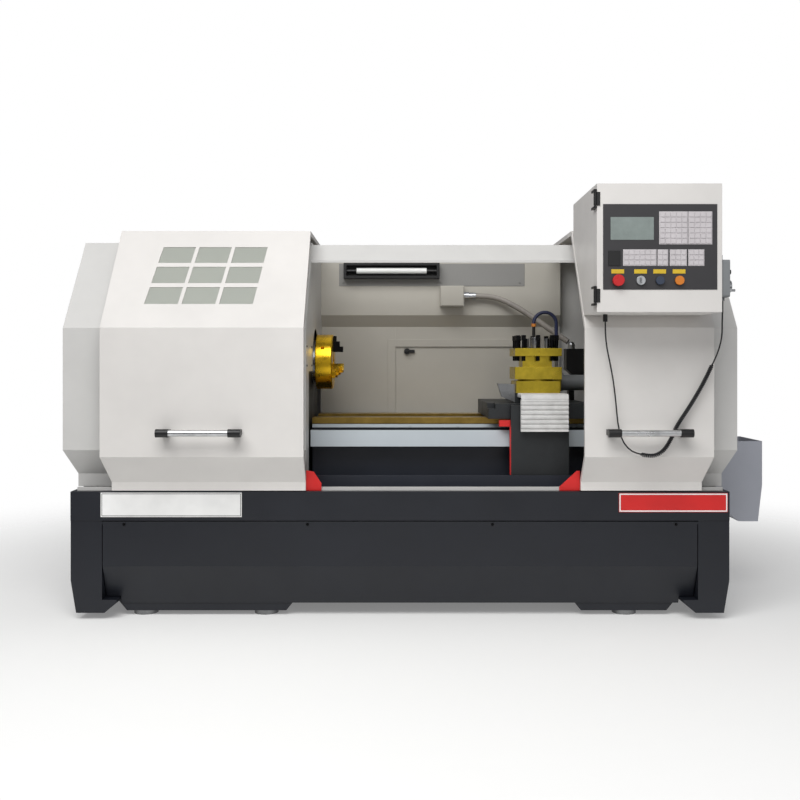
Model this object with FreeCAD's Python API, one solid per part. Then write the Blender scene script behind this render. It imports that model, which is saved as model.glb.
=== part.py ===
"""CNC turning lathe with a fully enclosed work zone, in millimetres.

Machine frame used below: X along the spindle towards the tailstock, Y away from the operator,
Z up. X = 0 is the middle of the base, Y = 0 the spindle's plane, Z = 0 the floor. At the end
every piece is moved so that the origin is the middle of the whole machine's footprint.
"""
import FreeCAD
import Part
import math
import os

V = FreeCAD.Vector
nodes = {}              # every separate piece, by name

# Clearances
SLIDE_GAP = 0.05        # between a slide and its way
RUN_GAP = 0.05          # radial, between a shaft and its bore
SOFT_GAP = 0.3          # between curved or soft faces of different bodies
SHEET = 2.5             # door and hood sheet
COVER = 3.0             # base cover sheet

# Base
BASE_X = 1348.0         # half length
BASE_Y = 485.0          # half depth
BASE_TOP = 525.0
BAND_BOTTOM = 406.0     # lower edge of the upper front cover
COVER_SEAM = 4.0
PANEL_BEND = 219.0      # height where the lower cover turns back
PANEL_BOTTOM = 53.0
PANEL_SETBACK = 70.0
BLOCK = 128.0           # length of the end blocks
BLOCK_INNER = BASE_X - BLOCK
BLOCK_BOTTOM = 28.0
BLOCK_TAPER_Z = 161.0
BLOCK_TAPER = 22.0
BLOCK_WALL = 12.0
FOOT_INNER = BLOCK_INNER - 60.0
FOOT_SLANT = 50.0
DECK = 30.0
RIB = 12.0
RIB_X = (-800.0, -400.0, 0.0, 400.0, 800.0)
FLOOR_PLATE_Z = 69.0
FLOOR_PLATE = 12.0
LONG_WALL_Y = BASE_Y - 85.0
LONG_WALL = 15.0
LEG_BOTTOM = 20.0
LEG_WIDE = 110.0
LEG_SLANT = 40.0
LEG_Y1 = LONG_WALL_Y + 10.0
LEG_Y0 = LEG_Y1 - LEG_WIDE
LEFT_LEG = (-BASE_X + 170.0, -BASE_X + 914.0)
RIGHT_LEG = (BASE_X - 634.0, BASE_X - 198.0)
PAD_X = (LEFT_LEG[0] + 107.0, LEFT_LEG[1] - 129.0, RIGHT_LEG[0] + 231.0)
PAD_Y = (LEG_Y0 + LEG_Y1) / 2
PAD_R = 50.0
PAD_SOCKET_Z = 8.0
LEVEL_BOLT_R = 10.0
LEVEL_BOLT_TOP = 115.0
LEVEL_NUT = 16.0
LEVEL_NUT_ACROSS = 32.0
BOLT_GAP = 0.5
COVER_SCREW_X = (-BLOCK_INNER + 92.0, -378.0, 378.0, BLOCK_INNER - 92.0)
COVER_SCREW_R = 6.0
PLATE = 1.5             # name plates
PLATE_RIM = 4.0
PLATE_DEEP = 0.5
WHITE_PLATE_X = (-BASE_X + 124.0, -BASE_X + 701.0)
WHITE_PLATE_Z = (421.0, 521.0)
RED_PLATE_X = (BASE_X - 453.0, BASE_X - 8.0)
RED_PLATE_Z = (441.0, 519.0)

# Fixed hoods
HOOD_X = BASE_X + 43.0
HOOD_SKIRT_X = BASE_X + 7.0
HOOD_FRONT = -BASE_Y + 33.0
HOOD_SKIRT_Y = -BASE_Y + 118.0
HOOD_BOTTOM = BASE_TOP + 7.0
HOOD_SKIRT_TOP = 586.0
HOOD_FACE_BOTTOM = 691.0
HOOD_FACE_TOP = 1195.0
HOOD_SLOPE = 287.0      # depth of the slope above the face
HOOD_SLOPE_Y = HOOD_FRONT + HOOD_SLOPE
HOOD_TOP = 1582.0
HOOD_REAR = BASE_Y - 105.0
HOOD_FOOT = 45.0
HOOD_FOOT_WIDE = 40.0
HOOD_FOOT_Y = (-250.0, 200.0)
FOOT_PLATE = 15.0
HEAD_WALL_X = -388.0    # inner wall beside the chuck
CHIP_GAP_Y = (-330.0, 300.0)
TAIL_HOOD_X = 790.0
TAIL_RIM = 30.0         # rim left round the tail hood's inner opening
HOOD_SCREW_Z = (1040.0, 1120.0)
HOOD_SCREW_Y = (-420.0, -200.0)

# Header above the work zone and back wall behind it
HEADER = [
    (HOOD_SLOPE_Y - 63.0, HOOD_TOP - 94.0),
    (HOOD_SLOPE_Y - 63.0, HOOD_TOP - 83.0),
    (HOOD_SLOPE_Y - 7.0, HOOD_TOP - 10.0),
    (HOOD_SLOPE_Y + 15.0, HOOD_TOP - 10.0),
]
BACK_Y = HOOD_REAR - 30.0
UPPER_BACK_Y = BACK_Y - 40.0
BACK_BEND_Z = (1229.0, 1286.0)
RAIL = (-12.0, 24.0)    # rear rail, in front of and behind the back wall's front face
RAIL_HIGH = 18.0
HATCH_X = (-23.0, 690.0)
HATCH_Z = (800.0, 1131.0)
HATCH_LAP = 8.0
HATCH_BORDER = 37.0
HATCH_FRAME = 5.0
HATCH_PANEL = 4.0
HATCH_PIN_R = 3.0
HATCH_HINGE = 60.0      # length of a hinge
HATCH_HINGE_X = (HATCH_X[0] + HATCH_HINGE, HATCH_X[1] - 2 * HATCH_HINGE)
LATCH = (35.0, 1108.0)
LATCH_KNOB_R = 15.0
LATCH_STEM_R = 6.0
LATCH_TONGUE = (3.2, 16.0, 38.0)

# Work lamp, junction box and conduit
LAMP_PLATE_X = (-300.0, 613.0)
LAMP_PLATE_Z = (1429.0, 1539.0)
LAMP_PLATE = 2.0
LAMP_SCREW_X = (-278.0, -40.0, 199.0, 590.0)
LAMP_X = (-275.0, 193.0)
LAMP_Z = (1463.0, 1538.0)
LAMP_DEEP = 50.0
LAMP_WALL = (14.0, 10.0, 12.0)
LAMP_HOLDER = 49.0
LAMP_HOLDER_R = 9.0
LAMP_TUBE_R = 15.0
LAMP_TUBE_Y = 32.0
JUNCTION_X = (197.0, 312.0)
JUNCTION_Z = (1326.0, 1426.0)
JUNCTION_DEEP = 60.0
JUNCTION_LID = 4.0
GLAND_NUT = (26.0, 20.0)
GLAND_R = 17.0
CONDUIT_R = 14.0
CONDUIT = [
    (370.0, 280.0, 1378.0), (455.0, 280.0, 1378.0), (545.0, 264.0, 1338.0), (640.0, 236.0, 1275.0),
    (725.0, 196.0, 1208.0), (800.0, 157.0, 1152.0),
]

# Bed
WAY_TOP = 811.0
WAY_DEEP = 27.0
FRONT_WAY = (-190.0, -90.0)
REAR_WAY = (115.0, 215.0)
BED_Y = (FRONT_WAY[0] + 10.0, REAR_WAY[1] - 10.0)
BED_X = (HEAD_WALL_X + 2.0, BASE_X - 58.0)
BED_WEB = 90.0          # floor of the bed's trough
BED_END = 60.0
BED_WALL = 70.0
TRAY = 2.0
TRAY_LIP = 50.0
TRAY_Y = (-345.0, 340.0)
TRAY_X = (BED_X[0], BED_X[1] + 10.0)
WAY_STRIP = 8.0
WAY_STRIP_Z = (WAY_TOP - 44.0, WAY_TOP - 29.0)
SCREW_STRIP_X = (-370.0, -185.0, 45.0, 255.0, 900.0, 1100.0)
SCREW_Y = -232.0
SCREW_Z = WAY_TOP - 86.0
SCREW_R = 16.0
SCREW_COVER_Z = (WAY_TOP - 121.0, WAY_TOP - 50.0)
SCREW_COVER_Y = -268.0
SCREW_END = BED_X[1] - 170.0
BEARING_BLOCK = 40.0
BLOCK_Y = (-262.0, BED_Y[0])
Z_SERVO = 190.0
Z_SERVO_HALF = 50.0

# Spindle line
SPINDLE_Z = WAY_TOP + 245.0
SPINDLE_R = 55.0
SPINDLE_BORE_R = 26.0
CHUCK_R = 125.0
CHUCK_WIDE = 76.0
CHUCK_X = (HEAD_WALL_X + 6.0, HEAD_WALL_X + 6.0 + CHUCK_WIDE)
CHUCK_EDGE = 4.0
CHUCK_BORE_R = 36.0
CHUCK_HOLE_GAP = 25.0
KEY_HALF = 7.0
KEY_DEEP = 22.0
JAW_TIP = 44.0          # reach of the jaws in front of the chuck
JAW_WIDE = 34.0
JAW_R = (45.0, 118.0)
JAW_STEPS = (14.0, 29.0)
JAW_STEP = 24.0
JAW_TRAVEL = 8.0
JAW_ANGLES = (0, 120, 240)
GUIDE = 12.0            # depth of a jaw's guide
GUIDE_HALF = 8.0
HEAD_X = (-HOOD_X + 271.0, HEAD_WALL_X - 12.0)
HEAD_Y = 210.0
HEAD_Z = (SPINDLE_Z - 196.0, SPINDLE_Z + 234.0)
HEAD_WALL = 30.0
HEAD_CHAMFER = 25.0
HEAD_BEARING_R = 85.0
HEAD_BEARING = 70.0
TAIL_BEARING_R = 75.0
TAIL_BEARING = 50.0
SPINDLE_FLANGE_R = 98.0
PULLEY_X = (HEAD_X[0] - 90.0, HEAD_X[0] - 30.0)
SHAFT_END = 20.0
SPINDLE_PULLEY_R = 120.0
MOTOR_PULLEY_R = 80.0
MOTOR_R = 110.0
MOTOR_Z = BASE_TOP + MOTOR_R + 45.0
MOTOR_X = (HEAD_X[0] + 10.0, HEAD_X[0] + 380.0)
MOTOR_FOOT = 100.0
MOTOR_SHAFT_R = 19.0
MOTOR_SHAFT_IN = 38.0
BELT = 5.0

# Saddle, cross slide and tool post
POST_X = 600.5
POST_Y = -148.5
POST_SIDE = 203.0       # width of the square turret
SADDLE_X = (POST_X - 220.5, POST_X + 225.5)
SADDLE_Y = (-290.0, 260.0)
SADDLE_TOP = WAY_TOP + 65.0
SADDLE_KEEL = 4.0
GUIDE_X = ((POST_X - 60.5, POST_X - 40.5), (POST_X + 41.5, POST_X + 61.5))
GUIDE_HIGH = 10.0
GUIDE_REAR = 210.0
APRON_X = (POST_X - 128.5, POST_X + 118.5)
APRON_FRONT = -330.0
APRON_Z = (BASE_TOP + 49.0, SADDLE_TOP - 6.0)
APRON_WALL = 12.0
APRON_EDGE = 3.0
WIPER_X = POST_X - 175.5
WIPER_Z = (WAY_TOP - 32.0, WAY_TOP - 5.0)
Z_NUT_X = (POST_X - 40.5, POST_X + 39.5)
Z_NUT_Y = (-258.0, -206.0)
SLIDE_X = (POST_X - POST_SIDE / 2 + 1.0, POST_X + POST_SIDE / 2)
SLIDE_Y = (-230.0, 140.0)
SLIDE_TOP = SADDLE_TOP + 44.0
CROSS_SCREW_R = 10.0
CROSS_SCREW_Z = SADDLE_TOP + 22.0
CROSS_SERVO = 80.0
CROSS_SERVO_Y = GUIDE_REAR + 5.0
CROSS_NUT_Y = (-60.0, -10.0)
CHANNEL_HALF = 15.0
BELLOWS_X = (POST_X - 89.5, POST_X + 110.5)
BELLOWS_Z = (WAY_TOP - 50.0, SLIDE_TOP)
BELLOWS = 38.0
BELLOWS_BEND = 20.0
BRACKET = 25.0
BRACKET_OUTLINE = [
    (SLIDE_X[0] - 57.0, SADDLE_TOP + 27.0),
    (SLIDE_X[0], SADDLE_TOP + 4.0),
    (SLIDE_X[0], SADDLE_TOP + 82.0),
    (SLIDE_X[0] - 75.0, SADDLE_TOP + 85.0),
]
BRACKET_SCREWS = [
    (SLIDE_X[0] - 48.0, SADDLE_TOP + 49.0),
    (SLIDE_X[0] - 22.0, SADDLE_TOP + 39.0),
    (SLIDE_X[0] - 14.0, SADDLE_TOP + 19.0),
]
POST_Z = (SLIDE_TOP + 60.0, SLIDE_TOP + 113.0, SLIDE_TOP + 161.0, SLIDE_TOP + 195.0)
POST_SLOT = 37.0
POST_LIFT = 8.0
POST_NECK_R = 80.0
PEDESTAL_INSET = 6.0
CLAMP_BOLT_ALONG = (-62.0, 0.0, 62.0)
CLAMP_BOLT_IN = 17.0
CLAMP_BOLT_R = 8.0
CLAMP_HEAD = 18.0
CLAMP_HEAD_Z = (POST_Z[3] + 35.0, POST_Z[3] + 57.0)
CLAMP_TIP = 27.0
EYE_R = 7.0
EYE_Z = POST_Z[3] - 17.0
CAP_R = 24.0
CAP_HIGH = 50.0
STUD_R = 14.0
STUD_HIGH = 43.0
STUD_OFFSET = 48.0
GEARBOX_X = (POST_X - 40.5, POST_X + 139.5)
GEARBOX_Y = (0.0, 70.0)
GEARBOX_TOP = SLIDE_TOP + 80.0
TURRET_MOTOR = 120.0
TURRET_MOTOR_R = 36.0
TURRET_MOTOR_Y = 20.0
TURRET_MOTOR_Z = SLIDE_TOP + 40.0
TURRET_FLANGE = 12.0
TURRET_FLANGE_R = 42.0

# Connection box behind the slide, and coolant hose
LINK_X = (POST_X + 187.5, POST_X + 279.5)
LINK_STEP_X = POST_X + 221.5
LINK_Y = (130.0, 205.0)
LINK_Z = (SADDLE_TOP + 115.0, SADDLE_TOP + 145.0, SADDLE_TOP + 242.0)
LINK_POST_X = (POST_X + 199.5, SADDLE_X[1])
LINK_POST_Y = (135.0, 185.0)
ELBOW = (POST_X + 214.5, 150.0)
ELBOW_R = 17.0
ELBOW_HIGH = 18.0
HOSE_X = POST_X + 68.5
HOSE_Y = 15.0
HOSE_Z = SLIDE_TOP + 312.0
HOSE_R = 8.0
HOSE_BEND = 52.0
HOSE_FITTING_R = 11.0
HOSE_FITTING_Z = (SLIDE_TOP + 228.0, SLIDE_TOP + 248.0)
HOSE_PIPE_R = 7.0
NOZZLE_FITTING = 14.0
NOZZLE = 58.0
NOZZLE_TIP = 40.0
NOZZLE_TIP_R = 3.0

# Tailstock
TAIL_X = (BED_X[1] - 290.0, BED_X[1] - 40.0)
TAIL_Y = (-170.0, 200.0)
TAIL_BASE_TOP = WAY_TOP + 69.0
TAIL_INSET = 20.0
TAIL_WEB = (110.0, 70.0)
BARREL_R = 75.0
QUILL_R = 40.0
QUILL_OUT = 80.0
QUILL_END = 110.0
QUILL_BACK = 60.0
CENTRE_R = 18.0
CENTRE_CONE = 32.0
CENTRE_BODY_R = 28.0
CENTRE_BODY = 20.0
TAIL_SCREW_R = 12.0
TAIL_NECK_R = 15.0
TAIL_WHEEL_R = 80.0
TAIL_RIM_R = 10.0
TAIL_HUB_R = 22.0
TAIL_GRIP_R = 9.0
SPOKE_HALF = 8.0

# Doors
DOOR_SKIRT_Y = -BASE_Y
DOOR_BOTTOM = BASE_TOP + 4.0
DOOR_SKIRT_TOP = 564.0
DOOR_BULGE = 85.0       # how far the doors stand out past the base
DOOR_FRONT = DOOR_SKIRT_Y - DOOR_BULGE
DOOR_FACE_BOTTOM = 674.0
DOOR_FACE_TOP = 1193.0
DOOR_SLOPE = 305.0
DOOR_SLOPE_Y = DOOR_FRONT + DOOR_SLOPE
DOOR_TOP = HOOD_TOP + 39.0
DOOR_FLANGE = 19.0
DOOR_MITRE = 23.0
LEFT_DOOR = (-BASE_X + 146.0, HEAD_WALL_X + 2.0)
RIGHT_DOOR = (TAIL_HOOD_X - 50.0, BASE_X - 91.0)
ROLLER_R = 8.5
ROLLER_WIDE = 12.0
ROLLER_IN = 110.0       # from a door's end to its rollers
LOW_ROLLER_Y = DOOR_SKIRT_Y + 40.0
AXLE_R = 4.0
AXLE_HALF = 8.0
AXLE_PLATE = 6.0
AXLE_PLATE_HALF = 12.0
TRACK_TOP = BASE_TOP + 14.0
TRACK_HALF = 10.0

# Window in the left door's slope
PANE_WIDE = 137.0
PANE_LONG = 89.0
PANE_PITCH_X = 153.0
PANE_PITCH = 111.0
PANE_COUNT = 3
PANE_X = (LEFT_DOOR[0] + LEFT_DOOR[1]) / 2 - 249.0
PANE_START = 121.0
PANE_SHEAR = 0.115
GLASS_LAP = 12.0
GLASS = 5.0

# Corner guards behind the doors' skirts
GUARD = 2.0
GUARD_BOTTOM = BASE_TOP + 1.0
GUARD_LUG_Z = (DOOR_BOTTOM + 3.0, DOOR_SKIRT_TOP - 4.0)
LUG_WIDE = 28.0
LEFT_GUARD_Y = DOOR_SKIRT_Y + 20.5
RIGHT_GUARD_Y = LEFT_GUARD_Y + GUARD + 1.5
LEFT_GUARD = [(0.0, 85.0), (32.0, 79.0), (63.0, 31.0)]     # past the door's end, above the base
RIGHT_GUARD = [(0.0, 82.0), (-13.0, 82.0), (-85.0, 16.0)]
LEFT_LUG_X = LEFT_DOOR[1] - 34.0
RIGHT_LUG_X = RIGHT_DOOR[0] + 92.0

# Door handles
HANDLE_R = 12.5
HANDLE_OUT = 70.0
HANDLE_Y = DOOR_FRONT - HANDLE_OUT
HANDLE_Z = 775.0
HANDLE_MOUNT = 50.0
HANDLE_SLEEVE = 4.0
HANDLE_LEG = 11.0
HANDLE_LEG_INSET = 6.0
LEFT_HANDLE = (LEFT_DOOR[0] + 246.0, LEFT_DOOR[1] - 244.0)
RIGHT_HANDLE = (RIGHT_DOOR[0] + 83.0, RIGHT_DOOR[1] - 109.0)

# Control box on the right door
BOX_X = (RIGHT_DOOR[0] + 2.0, RIGHT_DOOR[0] + 474.0)
BOX_Z = (1243.0, 1728.0)
BOX_FRONT = DOOR_FRONT - 220.0
BOX_LID = 18.0
BOX_REAR = DOOR_FRONT + 265.0
BOX_WALL = 2.0
BOX_RIM = 14.0
LID_HINGE_X = BOX_X[0] - 7.0
LID_HINGE_Y = BOX_FRONT - 2.0
LID_HINGE_Z = (BOX_Z[0] + 62.0, BOX_Z[1] - 58.0)
LID_HINGE_HALF = 26.0
HINGE_R = 6.0
HINGE_PIN_R = 3.0
HINGE_LEAF = 3.0
HINGE_ARM = 8.0
PANEL_X = (BOX_X[0] + 23.0, BOX_X[1] - 19.0)
PANEL_Z = (BOX_Z[0] + 85.0, BOX_Z[1] - 78.0)
PANEL = 2.0
DISPLAY_X = (PANEL_X[0] + 28.0, PANEL_X[0] + 191.0)
DISPLAY_Z = (PANEL_Z[0] + 187.0, PANEL_Z[0] + 273.0)
PORT_X = (PANEL_X[0] + 19.0, PANEL_X[0] + 64.0)
PORT_Z = (PANEL_Z[0] + 89.0, PANEL_Z[0] + 146.0)
PORT = 3.0
LABEL = 1.0             # display glass and button tags
TAG_HALF = 24.0
TAG_Z = (26.0, 42.0)
UPPER_KEYS_Z = (PANEL_Z[0] + 170.0, PANEL_Z[0] + 294.0)
LOWER_KEYS_Z = (PANEL_Z[0] + 89.0, PANEL_Z[0] + 151.0)
# Each pad: its ends past the panel's edge, its height, its columns and rows of keys
KEY_PADS = [
    (211.0, 319.0, UPPER_KEYS_Z, 5, 6),
    (321.0, 411.0, UPPER_KEYS_Z, 4, 6),
    (75.0, 201.0, LOWER_KEYS_Z, 6, 3),
    (205.0, 245.0, LOWER_KEYS_Z, 2, 3),
    (251.0, 315.0, LOWER_KEYS_Z, 3, 3),
    (321.0, 381.0, LOWER_KEYS_Z, 3, 3),
]
KEY_PAD = 0.8
KEY_HIGH = 1.6
KEY_MARGIN = 2.0
KEY_GAP = 1.5
BUTTON_Z = PANEL_Z[0] + 34.0
# Each control: its distance from the panel's edge, its radius and its height
BUTTONS = {
    "stop_button": (55.0, 21.5, 16.0),
    "key_switch": (141.0, 17.0, 9.0),
    "blue_button": (213.0, 16.0, 8.0),
    "orange_button": (286.0, 17.0, 8.0),
}
BUTTON_TRAVEL = 4.0
BUTTON_TAIL = 12.0
STEM_R = 8.0
KEY_BOW = (2.0, 14.0, 10.0)

# Pendant on the control box's right side, and its cord
PENDANT_X = (BOX_X[1] + 2.0, BOX_X[1] + 32.0)
PENDANT_Y = (BOX_FRONT + 5.0, BOX_FRONT + 85.0)
PENDANT_Z = (BOX_Z[0] + 58.0, BOX_Z[0] + 199.0)
PENDANT_EDGE = 8.0
PENDANT_HOOK = (20.0, 10.0, 19.0)
PENDANT_BRACKET = (22.0, 29.0, 149.0)
WHEEL_Z = PENDANT_Z[0] + 42.0
WHEEL_R = 23.0
WHEEL_STEM_R = 7.0
CRANK_R = 5.0
CRANK_OFFSET = 15.0
KNOB_Z = PENDANT_Z[0] + 97.0
KNOB_R = 9.0
KNOB_STEM_R = 4.0
STEM_IN = 11.0
STEM_OUT = 3.0
CORD_GLAND_R = 9.0
RELIEF_R = 7.0
LEAD_R = 3.0
COIL_R = 9.0
LEAD_A = [
    (810, -620, 1214), (810, -620, 1172), (819, -606, 1112), (834, -597, 1052), (847, -595, 985),
    (856, -595, 915), (862, -595, 845), (870, -595, 782), (889, -595, 730), (922, -595, 698),
    (955, -595, 689),
]
COIL_LINE = [
    (955, -595, 689), (999, -595, 677), (1045, -595, 697), (1076, -595, 745), (1100, -595, 802),
    (1138, -596, 858), (1176, -598, 920), (1210, -603, 984), (1236, -612, 1046),
]
LEAD_B = [
    (1236, -612, 1046), (1253, -618, 1086), (1260, -640, 1132), (1252, -680, 1172),
    (1238, -718, 1204), (1231, -745, 1242), (1231, -745, 1288),
]
ROUND_SHARE = 0.45      # share of the shorter run that each arc of a cord takes

# Tail guard and coolant pump
TAIL_GUARD_Y = (-70.0, 210.0)
TAIL_GUARD_WALL = 2.5
TAIL_GUARD_TOP = HOOD_FACE_BOTTOM + 6.0
TAIL_GUARD_END = BASE_X + 291.0
TAIL_GUARD_BOTTOM = (366.0, 334.0)
TAIL_GUARD = [
    (BASE_X, TAIL_GUARD_BOTTOM[0]),
    (BASE_X + 143.0, TAIL_GUARD_BOTTOM[0]),
    (BASE_X + 185.0, TAIL_GUARD_BOTTOM[1]),
    (BASE_X + 272.0, TAIL_GUARD_BOTTOM[1]),
    (TAIL_GUARD_END, 500.0),
    (TAIL_GUARD_END, TAIL_GUARD_TOP),
    (HOOD_X, TAIL_GUARD_TOP),
    (HOOD_X, HOOD_FACE_BOTTOM),
    (HOOD_SKIRT_X, HOOD_SKIRT_TOP),
    (HOOD_SKIRT_X, BASE_TOP),
    (BASE_X, BASE_TOP),
]
PUMP = (BASE_X + 92.0, 70.0)
PUMP_R = 60.0
PUMP_HIGH = 218.0
PUMP_FOOT = 12.0
PUMP_FOOT_HALF = (60.0, 70.0)
PUMP_CAP_R = 48.0
PUMP_CAP = 20.0

# Electrical cabinet on the back
CABINET_X = (-1150.0, -450.0)
CABINET_Y = (BASE_Y, BASE_Y + 360.0)
CABINET_Z = (300.0, 1500.0)
CABINET_WALL = 2.0
CABINET_LIP = 25.0
CABINET_DOOR = 18.0
CABINET_BRACKET_Z = (1380.0, 1460.0)
CABINET_BRACKET = 40.0
CABINET_HINGE = 8.0     # from the cabinet's corner to the hinge's axis, each way
CABINET_HINGE_Z = (150.0, 1000.0)
CABINET_HINGE_HIGH = 60.0
CABINET_PIN_R = 3.0
CABINET_PULL = (16.0, 16.0, 90.0)


def box(x0, x1, y0, y1, z0, z1):
    return Part.makeBox(x1 - x0, y1 - y0, z1 - z0, V(x0, y0, z0))


def side_box(side, a, b, y0, y1, z0, z1):
    """A box at the left (side -1) or right (side 1), from its distances to the middle."""
    return box(*sorted((side * a, side * b)), y0, y1, z0, z1)


def cyl_x(x0, x1, y, z, r):
    return Part.makeCylinder(r, x1 - x0, V(x0, y, z), V(1, 0, 0))


def cyl_y(y0, y1, x, z, r):
    return Part.makeCylinder(r, y1 - y0, V(x, y0, z), V(0, 1, 0))


def cyl_z(z0, z1, x, y, r):
    return Part.makeCylinder(r, z1 - z0, V(x, y, z0))


def solid_of(points, along):
    """A polygon of 3-D points pushed along a vector."""
    return Part.Face(Part.makePolygon(points + points[:1])).extrude(along)


def prism_x(points, x0, x1):
    return solid_of([V(x0, y, z) for y, z in points], V(x1 - x0, 0, 0))


def prism_y(points, y0, y1):
    return solid_of([V(x, y0, z) for x, z in points], V(0, y1 - y0, 0))


def prism_z(points, z0, z1):
    return solid_of([V(x, y, z0) for x, y in points], V(0, 0, z1 - z0))


def join(shapes):
    first = shapes[0]
    return first.fuse(list(shapes[1:])).removeSplitter() if len(shapes) > 1 else first


def left_normal(a, b):
    length = math.hypot(b[0] - a[0], b[1] - a[1])
    return (-(b[1] - a[1]) / length, (b[0] - a[0]) / length)


def mitred(point, before, after, distance):
    """A corner moved by a distance to the left of both lines that meet there."""
    share = distance / (1 + before[0] * after[0] + before[1] * after[1])
    return (point[0] + (before[0] + after[0]) * share, point[1] + (before[1] + after[1]) * share)


def offset_line(points, distance):
    """An open outline moved to its left."""
    normals = [left_normal(a, b) for a, b in zip(points, points[1:])]
    before = normals[:1] + normals
    after = normals + normals[-1:]
    return [mitred(p, b, a, distance) for p, b, a in zip(points, before, after)]


def offset_loop(points, distance):
    """A closed anticlockwise outline moved inwards."""
    normals = [left_normal(a, b) for a, b in zip(points, points[1:] + points[:1])]
    before = normals[-1:] + normals[:-1]
    return [mitred(p, b, a, distance) for p, b, a in zip(points, before, normals)]


def strip(points, distance):
    """The band between an open outline and the same outline moved to its left."""
    return points + offset_line(points, distance)[::-1]


def bands(points, moved):
    """One four-sided band for each side of an outline, between it and its moved copy."""
    sides = zip(points, points[1:], moved, moved[1:])
    return [[a, b, d, c] for a, b, c, d in sides]


def mirror_x(points):
    return [(-x, z) for x, z in points][::-1]


def ring_x(x0, x1, y, z, outer, inner):
    return cyl_x(x0, x1, y, z, outer).cut(cyl_x(x0 - 1, x1 + 1, y, z, inner))


def frame_xz(outer_x, outer_z, inner_x, inner_z, y0, y1):
    """Four flat strips round a rectangle."""
    return [
        box(outer_x[0], inner_x[0], y0, y1, *outer_z),
        box(inner_x[1], outer_x[1], y0, y1, *outer_z),
        box(*inner_x, y0, y1, outer_z[0], inner_z[0]),
        box(*inner_x, y0, y1, inner_z[1], outer_z[1]),
    ]


def inwards(span, distance):
    return (span[0] + distance, span[1] - distance)


def hexagon_z(z0, z1, x, y, across):
    r = across / math.sqrt(3)
    turns = [math.radians(a) for a in range(0, 360, 60)]
    return prism_z([(x + r * math.cos(a), y + r * math.sin(a)) for a in turns], z0, z1)


def socket_screw(place, direction, r=4.0, high=3.0):
    """A low round screw head with a recess, standing on a face."""
    head = Part.makeCylinder(r, high, place, direction)
    recess = Part.makeCylinder(r * 0.45, high * 0.6, place + direction * (high * 0.4), direction)
    return head.cut(recess)


# ---------------------------------------------------------------- base


def base_end_block(side):
    outline = [
        (FOOT_INNER, FLOOR_PLATE_Z),
        (FOOT_INNER + FOOT_SLANT, BLOCK_BOTTOM),
        (BASE_X - BLOCK_TAPER, BLOCK_BOTTOM),
        (BASE_X, BLOCK_TAPER_Z),
        (BASE_X, BASE_TOP - DECK),
        (BLOCK_INNER, BASE_TOP - DECK),
        (BLOCK_INNER, FLOOR_PLATE_Z + FLOOR_PLATE),
        (FOOT_INNER, FLOOR_PLATE_Z + FLOOR_PLATE),
    ]
    front = BASE_Y - COVER
    block = prism_y([(side * x, z) for x, z in outline], -front, front)
    inside = front - BLOCK_WALL
    end = BASE_X - BLOCK_TAPER - BLOCK_WALL
    span = (-inside, inside, FLOOR_PLATE_Z + FLOOR_PLATE, BASE_TOP - DECK)
    return block.cut(side_box(side, BLOCK_INNER + BLOCK_WALL, end, *span))


def leg(span, side):
    outline = [
        (span[0] + LEG_SLANT, LEG_BOTTOM),
        (span[1] - LEG_SLANT, LEG_BOTTOM),
        (span[1], FLOOR_PLATE_Z),
        (span[0], FLOOR_PLATE_Z),
    ]
    return prism_y(outline, *sorted((side * LEG_Y0, side * LEG_Y1)))


def pad_places():
    return [(x, side * PAD_Y) for x in PAD_X for side in (-1, 1)]


def base_frame():
    front = BASE_Y - COVER
    deck_bottom = BASE_TOP - DECK
    plate_top = FLOOR_PLATE_Z + FLOOR_PLATE
    parts = [box(-BASE_X, BASE_X, -front, front, deck_bottom, BASE_TOP)]
    parts += [base_end_block(side) for side in (-1, 1)]
    wall = LONG_WALL_Y - LONG_WALL
    backing_z = (BAND_BOTTOM - 4 * COVER_SEAM, BAND_BOTTOM - COVER_SEAM - 2)
    for side in (-1, 1):
        wall_y = sorted((side * LONG_WALL_Y, side * wall))
        backing_y = sorted((side * front, side * LONG_WALL_Y))
        parts.append(box(-BLOCK_INNER, BLOCK_INNER, *wall_y, plate_top, deck_bottom))
        parts.append(box(-BLOCK_INNER, BLOCK_INNER, *backing_y, *backing_z))
        parts += [leg(LEFT_LEG, side), leg(RIGHT_LEG, side)]
    parts.append(box(-BLOCK_INNER, BLOCK_INNER, -LEG_Y1, LEG_Y1, FLOOR_PLATE_Z, plate_top))
    parts += [box(x - RIB / 2, x + RIB / 2, -wall, wall, plate_top, deck_bottom) for x in RIB_X]
    bore = LEVEL_BOLT_R + BOLT_GAP
    holes = [cyl_z(LEG_BOTTOM - 1, plate_top + 1, x, y, bore) for x, y in pad_places()]
    return join(parts).cut(holes)


def upper_cover(side):
    span = sorted((side * BASE_Y, side * (BASE_Y - COVER)))
    return box(-BASE_X, BASE_X, *span, BAND_BOTTOM, BASE_TOP)


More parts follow.
